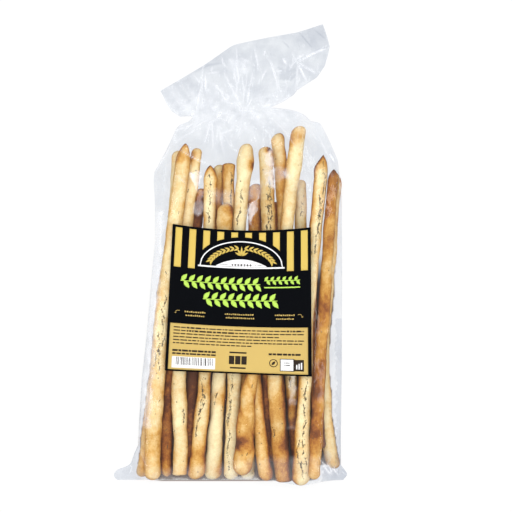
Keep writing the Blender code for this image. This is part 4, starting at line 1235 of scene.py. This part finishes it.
def filmMaterial():
    # Thin clear film: it lets light through, turns white along folds, partly as hazy film and partly as
    # painted glints and reflections, and mirrors more the more it slants.
    n = Nodes("clearFilm")
    where = n.place()
    cloud = n.noise(where, 45, 4, .6)
    streak = n.noise(n.squeezed(where, .2), 300, 3, .55)
    bump = n.bump(.35, 0.0012, n.maths("ADD", n.noise(where, 160, 3, .5), n.maths("MULTIPLY", streak, .35)))
    # dark folds, patches of painted shade, and slanting film, let less light through
    deep = n.maths("ADD", n.attribute("dark"), n.span(cloud, .45, .75, 0, .35, False))
    grazing = n.add("LayerWeight", {"Blend": .32}).outputs["Facing"]
    deep = n.maths("ADD", deep, n.maths("MULTIPLY", n.maths("POWER", grazing, 3.0), .9))
    deep = n.maths("MULTIPLY", deep, filmLook["darkShare"], clamp=True)
    tint = n.blend(deep, filmLook["clear"], filmLook["dark"])
    through = n.add("BsdfTransparent", {"Color": tint}).outputs[0]
    milkAndGlintWhite = n.add("BsdfDiffuse", {"Color": filmLook["milkAndGlintWhite"], "Roughness": .5}).outputs[0]
    # white along folds and areas: hazy film, and painted glints and reflections
    folds = n.maths("MULTIPLY", n.attribute("milkAndGlint"), n.span(streak, .3, .7, .6, 1.1, False))
    least = filmLook["milkShare"]
    share = n.maths("ADD", folds, n.span(cloud, .5, .8, least, least * 3, False), clamp=True)
    body = n.add("MixShader", {0: share, 1: through, 2: milkAndGlintWhite}).outputs[0]
    gloss = n.add("BsdfGlossy", {"Color": (1, 1, 1, 1), "Roughness": filmLook["gloss"], "Normal": bump})
    # reflected share of a thin skin, alike from both sides, rising with the slant's fifth power
    slant = n.add("LayerWeight", {"Blend": .5, "Normal": bump}).outputs["Facing"]
    mirror = n.maths("MULTIPLY_ADD", n.maths("POWER", slant, 5.0), .9, filmLook["mirror"], clamp=True)
    mixed = n.add("MixShader", {0: mirror, 1: body, 2: gloss.outputs[0]}).outputs[0]
    return n.output(mixed)


def paperMaterial(name, colour, roughness, wear, specular=0.4):
    # Printed paper: a faint cloud in the ink, fine tooth in the bump, and a touch of varnish.
    n = Nodes(name)
    where = n.place()
    cloud, tooth = n.noise(where, 60, 3), n.noise(where, 2200, 3, .6)
    low = tuple(c * (1 - wear) for c in colour) + (1,)
    high = tuple(min(1, c * (1 + wear)) for c in colour) + (1,)
    mixed = n.blend(n.maths("ADD", n.maths("MULTIPLY", cloud, .6), n.maths("MULTIPLY", tooth, .4)), low, high)
    rough = n.span(cloud, .3, .7, roughness - .05, roughness + .07, False)
    return n.principled(mixed, rough, n.bump(.12, 0.0003, tooth), specular)


def give(pieces, material):
    for piece in pieces:
        piece.data.materials.clear()
        piece.data.materials.append(material)


give(stickPieces, crustMaterial())
give([leafPiece], herbMaterial())
give([filmObject], filmMaterial())
give([paperObject], paperMaterial("blackLabelPaper", (.0022, .0026, .0036), .55, .25, .04))
inks = {
    "printPanel": ((.475, .335, .100), .5),
    "printGold": ((.535, .385, .083), .48),
    "printLime": ((.375, .575, .080), .45),
    "printInk": ((.020, .012, .007), .5),
    "printWhite": ((.76, .76, .76), .45),
}
for piece in printPieces:
    colour, roughness = inks[piece.name]
    give([piece], paperMaterial(piece.name + "Ink", colour, roughness, .08))

for piece in [*stickPieces, leafPiece, filmObject, paperObject, *printPieces]:
    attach(piece, "root")
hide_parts("bag")
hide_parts("label")
print("pieces ride on root")

studio = {
    "floorWhite": .10, "floorGlow": .86, "sky": .24,
    "floorHeight": -0.3, "floorReach": 4000,
    # the patch of painted shade on the floor under the heap: its colour, how wide a gap it closes, where it
    # fades out
    "paintedShadeUnderHeap": (.14, .085, .06, 1), "closedGap": 5, "gapRows": (140, 190), "shadeFoot": -0.3,
    "footRows": 12, "footFade": ([-66, -58, 50, 60], [.4, 1, 1, .25]),
    "cameraHeight": 3.0, "frameWidth": 0.379, "look": (0.0192, -0.0010, 0.012),
    # name: place, size, watts, and whether the film mirrors it
    "lamps": {
        "softboxLeft": ((-.62, 0, .92), (.5, 1.2), 2.4, False),
        "softboxRight": ((.62, 0, .92), (.5, 1.2), 2.4, False),
        "softboxHead": ((0, 1.0, .8), (.7, .6), 1.5, False),
        "softboxFoot": ((0, -1.0, .8), (.7, .6), 1.5, False),
        "overhead": ((0, 0, 3.3), (2.2, 2.2), 116.0, False),
        "stripLeft": ((-.80, 0, .62), (.14, 1.2), 1.5, True),
        "stripRight": ((.80, 0, .62), (.14, 1.2), 1.5, True),
        "stripHead": ((.1, 1.0, .7), (.5, .14), .8, True),
    },
}


def makeFloor():
    # A wide sheet with a fine grid under the bag. The floor glows, so that the bag casts no shadow beside it.
    # Under the heap the glow is turned off and the sheet is tinted dark brown, painted shade for the sticks
    # packed
    # behind: where sticks lie, and in the narrow gaps between them, which are closed by growing the covered
    # part sideways and shrinking it again.
    x, y = np.arange(-112, 102, 1.0), np.arange(-20, 300, 1.0)
    covered = (crustTops(*np.meshgrid(x, y), 1.0)[0] > 0).astype(float)
    for grow in (np.maximum, np.minimum):
        for _ in range(studio["closedGap"] + (grow is np.minimum)):
            covered = grow(covered, grow(np.roll(covered, 1, axis=1), np.roll(covered, -1, axis=1)))
    for _ in range(4):  # the shade between the feet reaches down to the foot of the bag
        covered[:-1] = np.maximum(covered[:-1], covered[1:])
    covered[y < studio["shadeFoot"]] = 0
    covered[y < studio["footRows"]] *= np.interp(x, *studio["footFade"])
    covered = neighbourMean(covered) * np.interp(y, studio["gapRows"], (1, 0))[:, None]
    far = studio["floorReach"]
    gx, gy = np.meshgrid(np.concatenate([[-far], x, [far]]), np.concatenate([[-far], y, [far]]))
    points = np.dstack([gx, gy, np.full(gx.shape, studio["floorHeight"])])
    covered = np.pad(covered, 1)
    floor = makeMesh("floor", points, gridQuads(*gx.shape), attributes={"covered": covered}, closed=False)
    n = Nodes("paleFloor")
    where = n.place()
    white = studio["floorWhite"]
    tone = n.blend(n.noise(where, 4, 2), (white,) * 3 + (1,), (white * 1.03,) * 3 + (1,))
    under = n.attribute("covered")
    # painted shade: under the heap the floor is tinted dark brown in place of the shade of the sticks packed
    # behind
    matt = n.add("BsdfDiffuse", {"Color": n.blend(under, tone, studio["paintedShadeUnderHeap"])}).outputs[0]
    strength = n.span(under, .3, .9, studio["floorGlow"], 0)
    glow = n.add("Emission", {"Color": (1, 1, 1, 1), "Strength": strength}).outputs[0]
    floor.data.materials.append(n.output(n.add("AddShader", {0: matt, 1: glow}).outputs[0]))


def makeLamp(name, place, size, watts, mirrored):
    # A soft rectangular lamp that faces the middle of the bag.
    lamp = bpy.data.lights.new(name, "AREA")
    lamp.shape, lamp.size, lamp.size_y, lamp.energy = "RECTANGLE", size[0], size[1], watts
    obj = bpy.data.objects.new(name, lamp)
    bpy.context.scene.collection.objects.link(obj)
    obj.visible_glossy, obj.visible_camera = mirrored, False
    away = np.array(place) - np.array([0, 0, .02])
    obj.location = place
    obj.rotation_euler = (0, math.atan2(math.hypot(away[0], away[1]), away[2]), math.atan2(away[1], away[0]))


makeFloor()
for lampName, facts in studio["lamps"].items():
    makeLamp(lampName, *facts)
world = bpy.data.worlds.new("paleRoom")
world.use_nodes = True
world.node_tree.nodes["Background"].inputs[0].default_value = (.97, .98, 1, 1)
world.node_tree.nodes["Background"].inputs[1].default_value = studio["sky"]
bpy.context.scene.world = world
bpy.context.scene.view_settings.view_transform = "Standard"

lens = bpy.data.cameras.new("overhead")
camera = bpy.data.objects.new("overhead", lens)
bpy.context.scene.collection.objects.link(camera)
lookX, lookY, lookZ = studio["look"]
camera.location = (lookX, lookY, lookZ + studio["cameraHeight"])
lens.sensor_width = 36.0
lens.lens = 36.0 * studio["cameraHeight"] / studio["frameWidth"]
lens.clip_start, lens.clip_end = 0.1, 20.0
bpy.context.scene.camera = camera
print("studio ready")
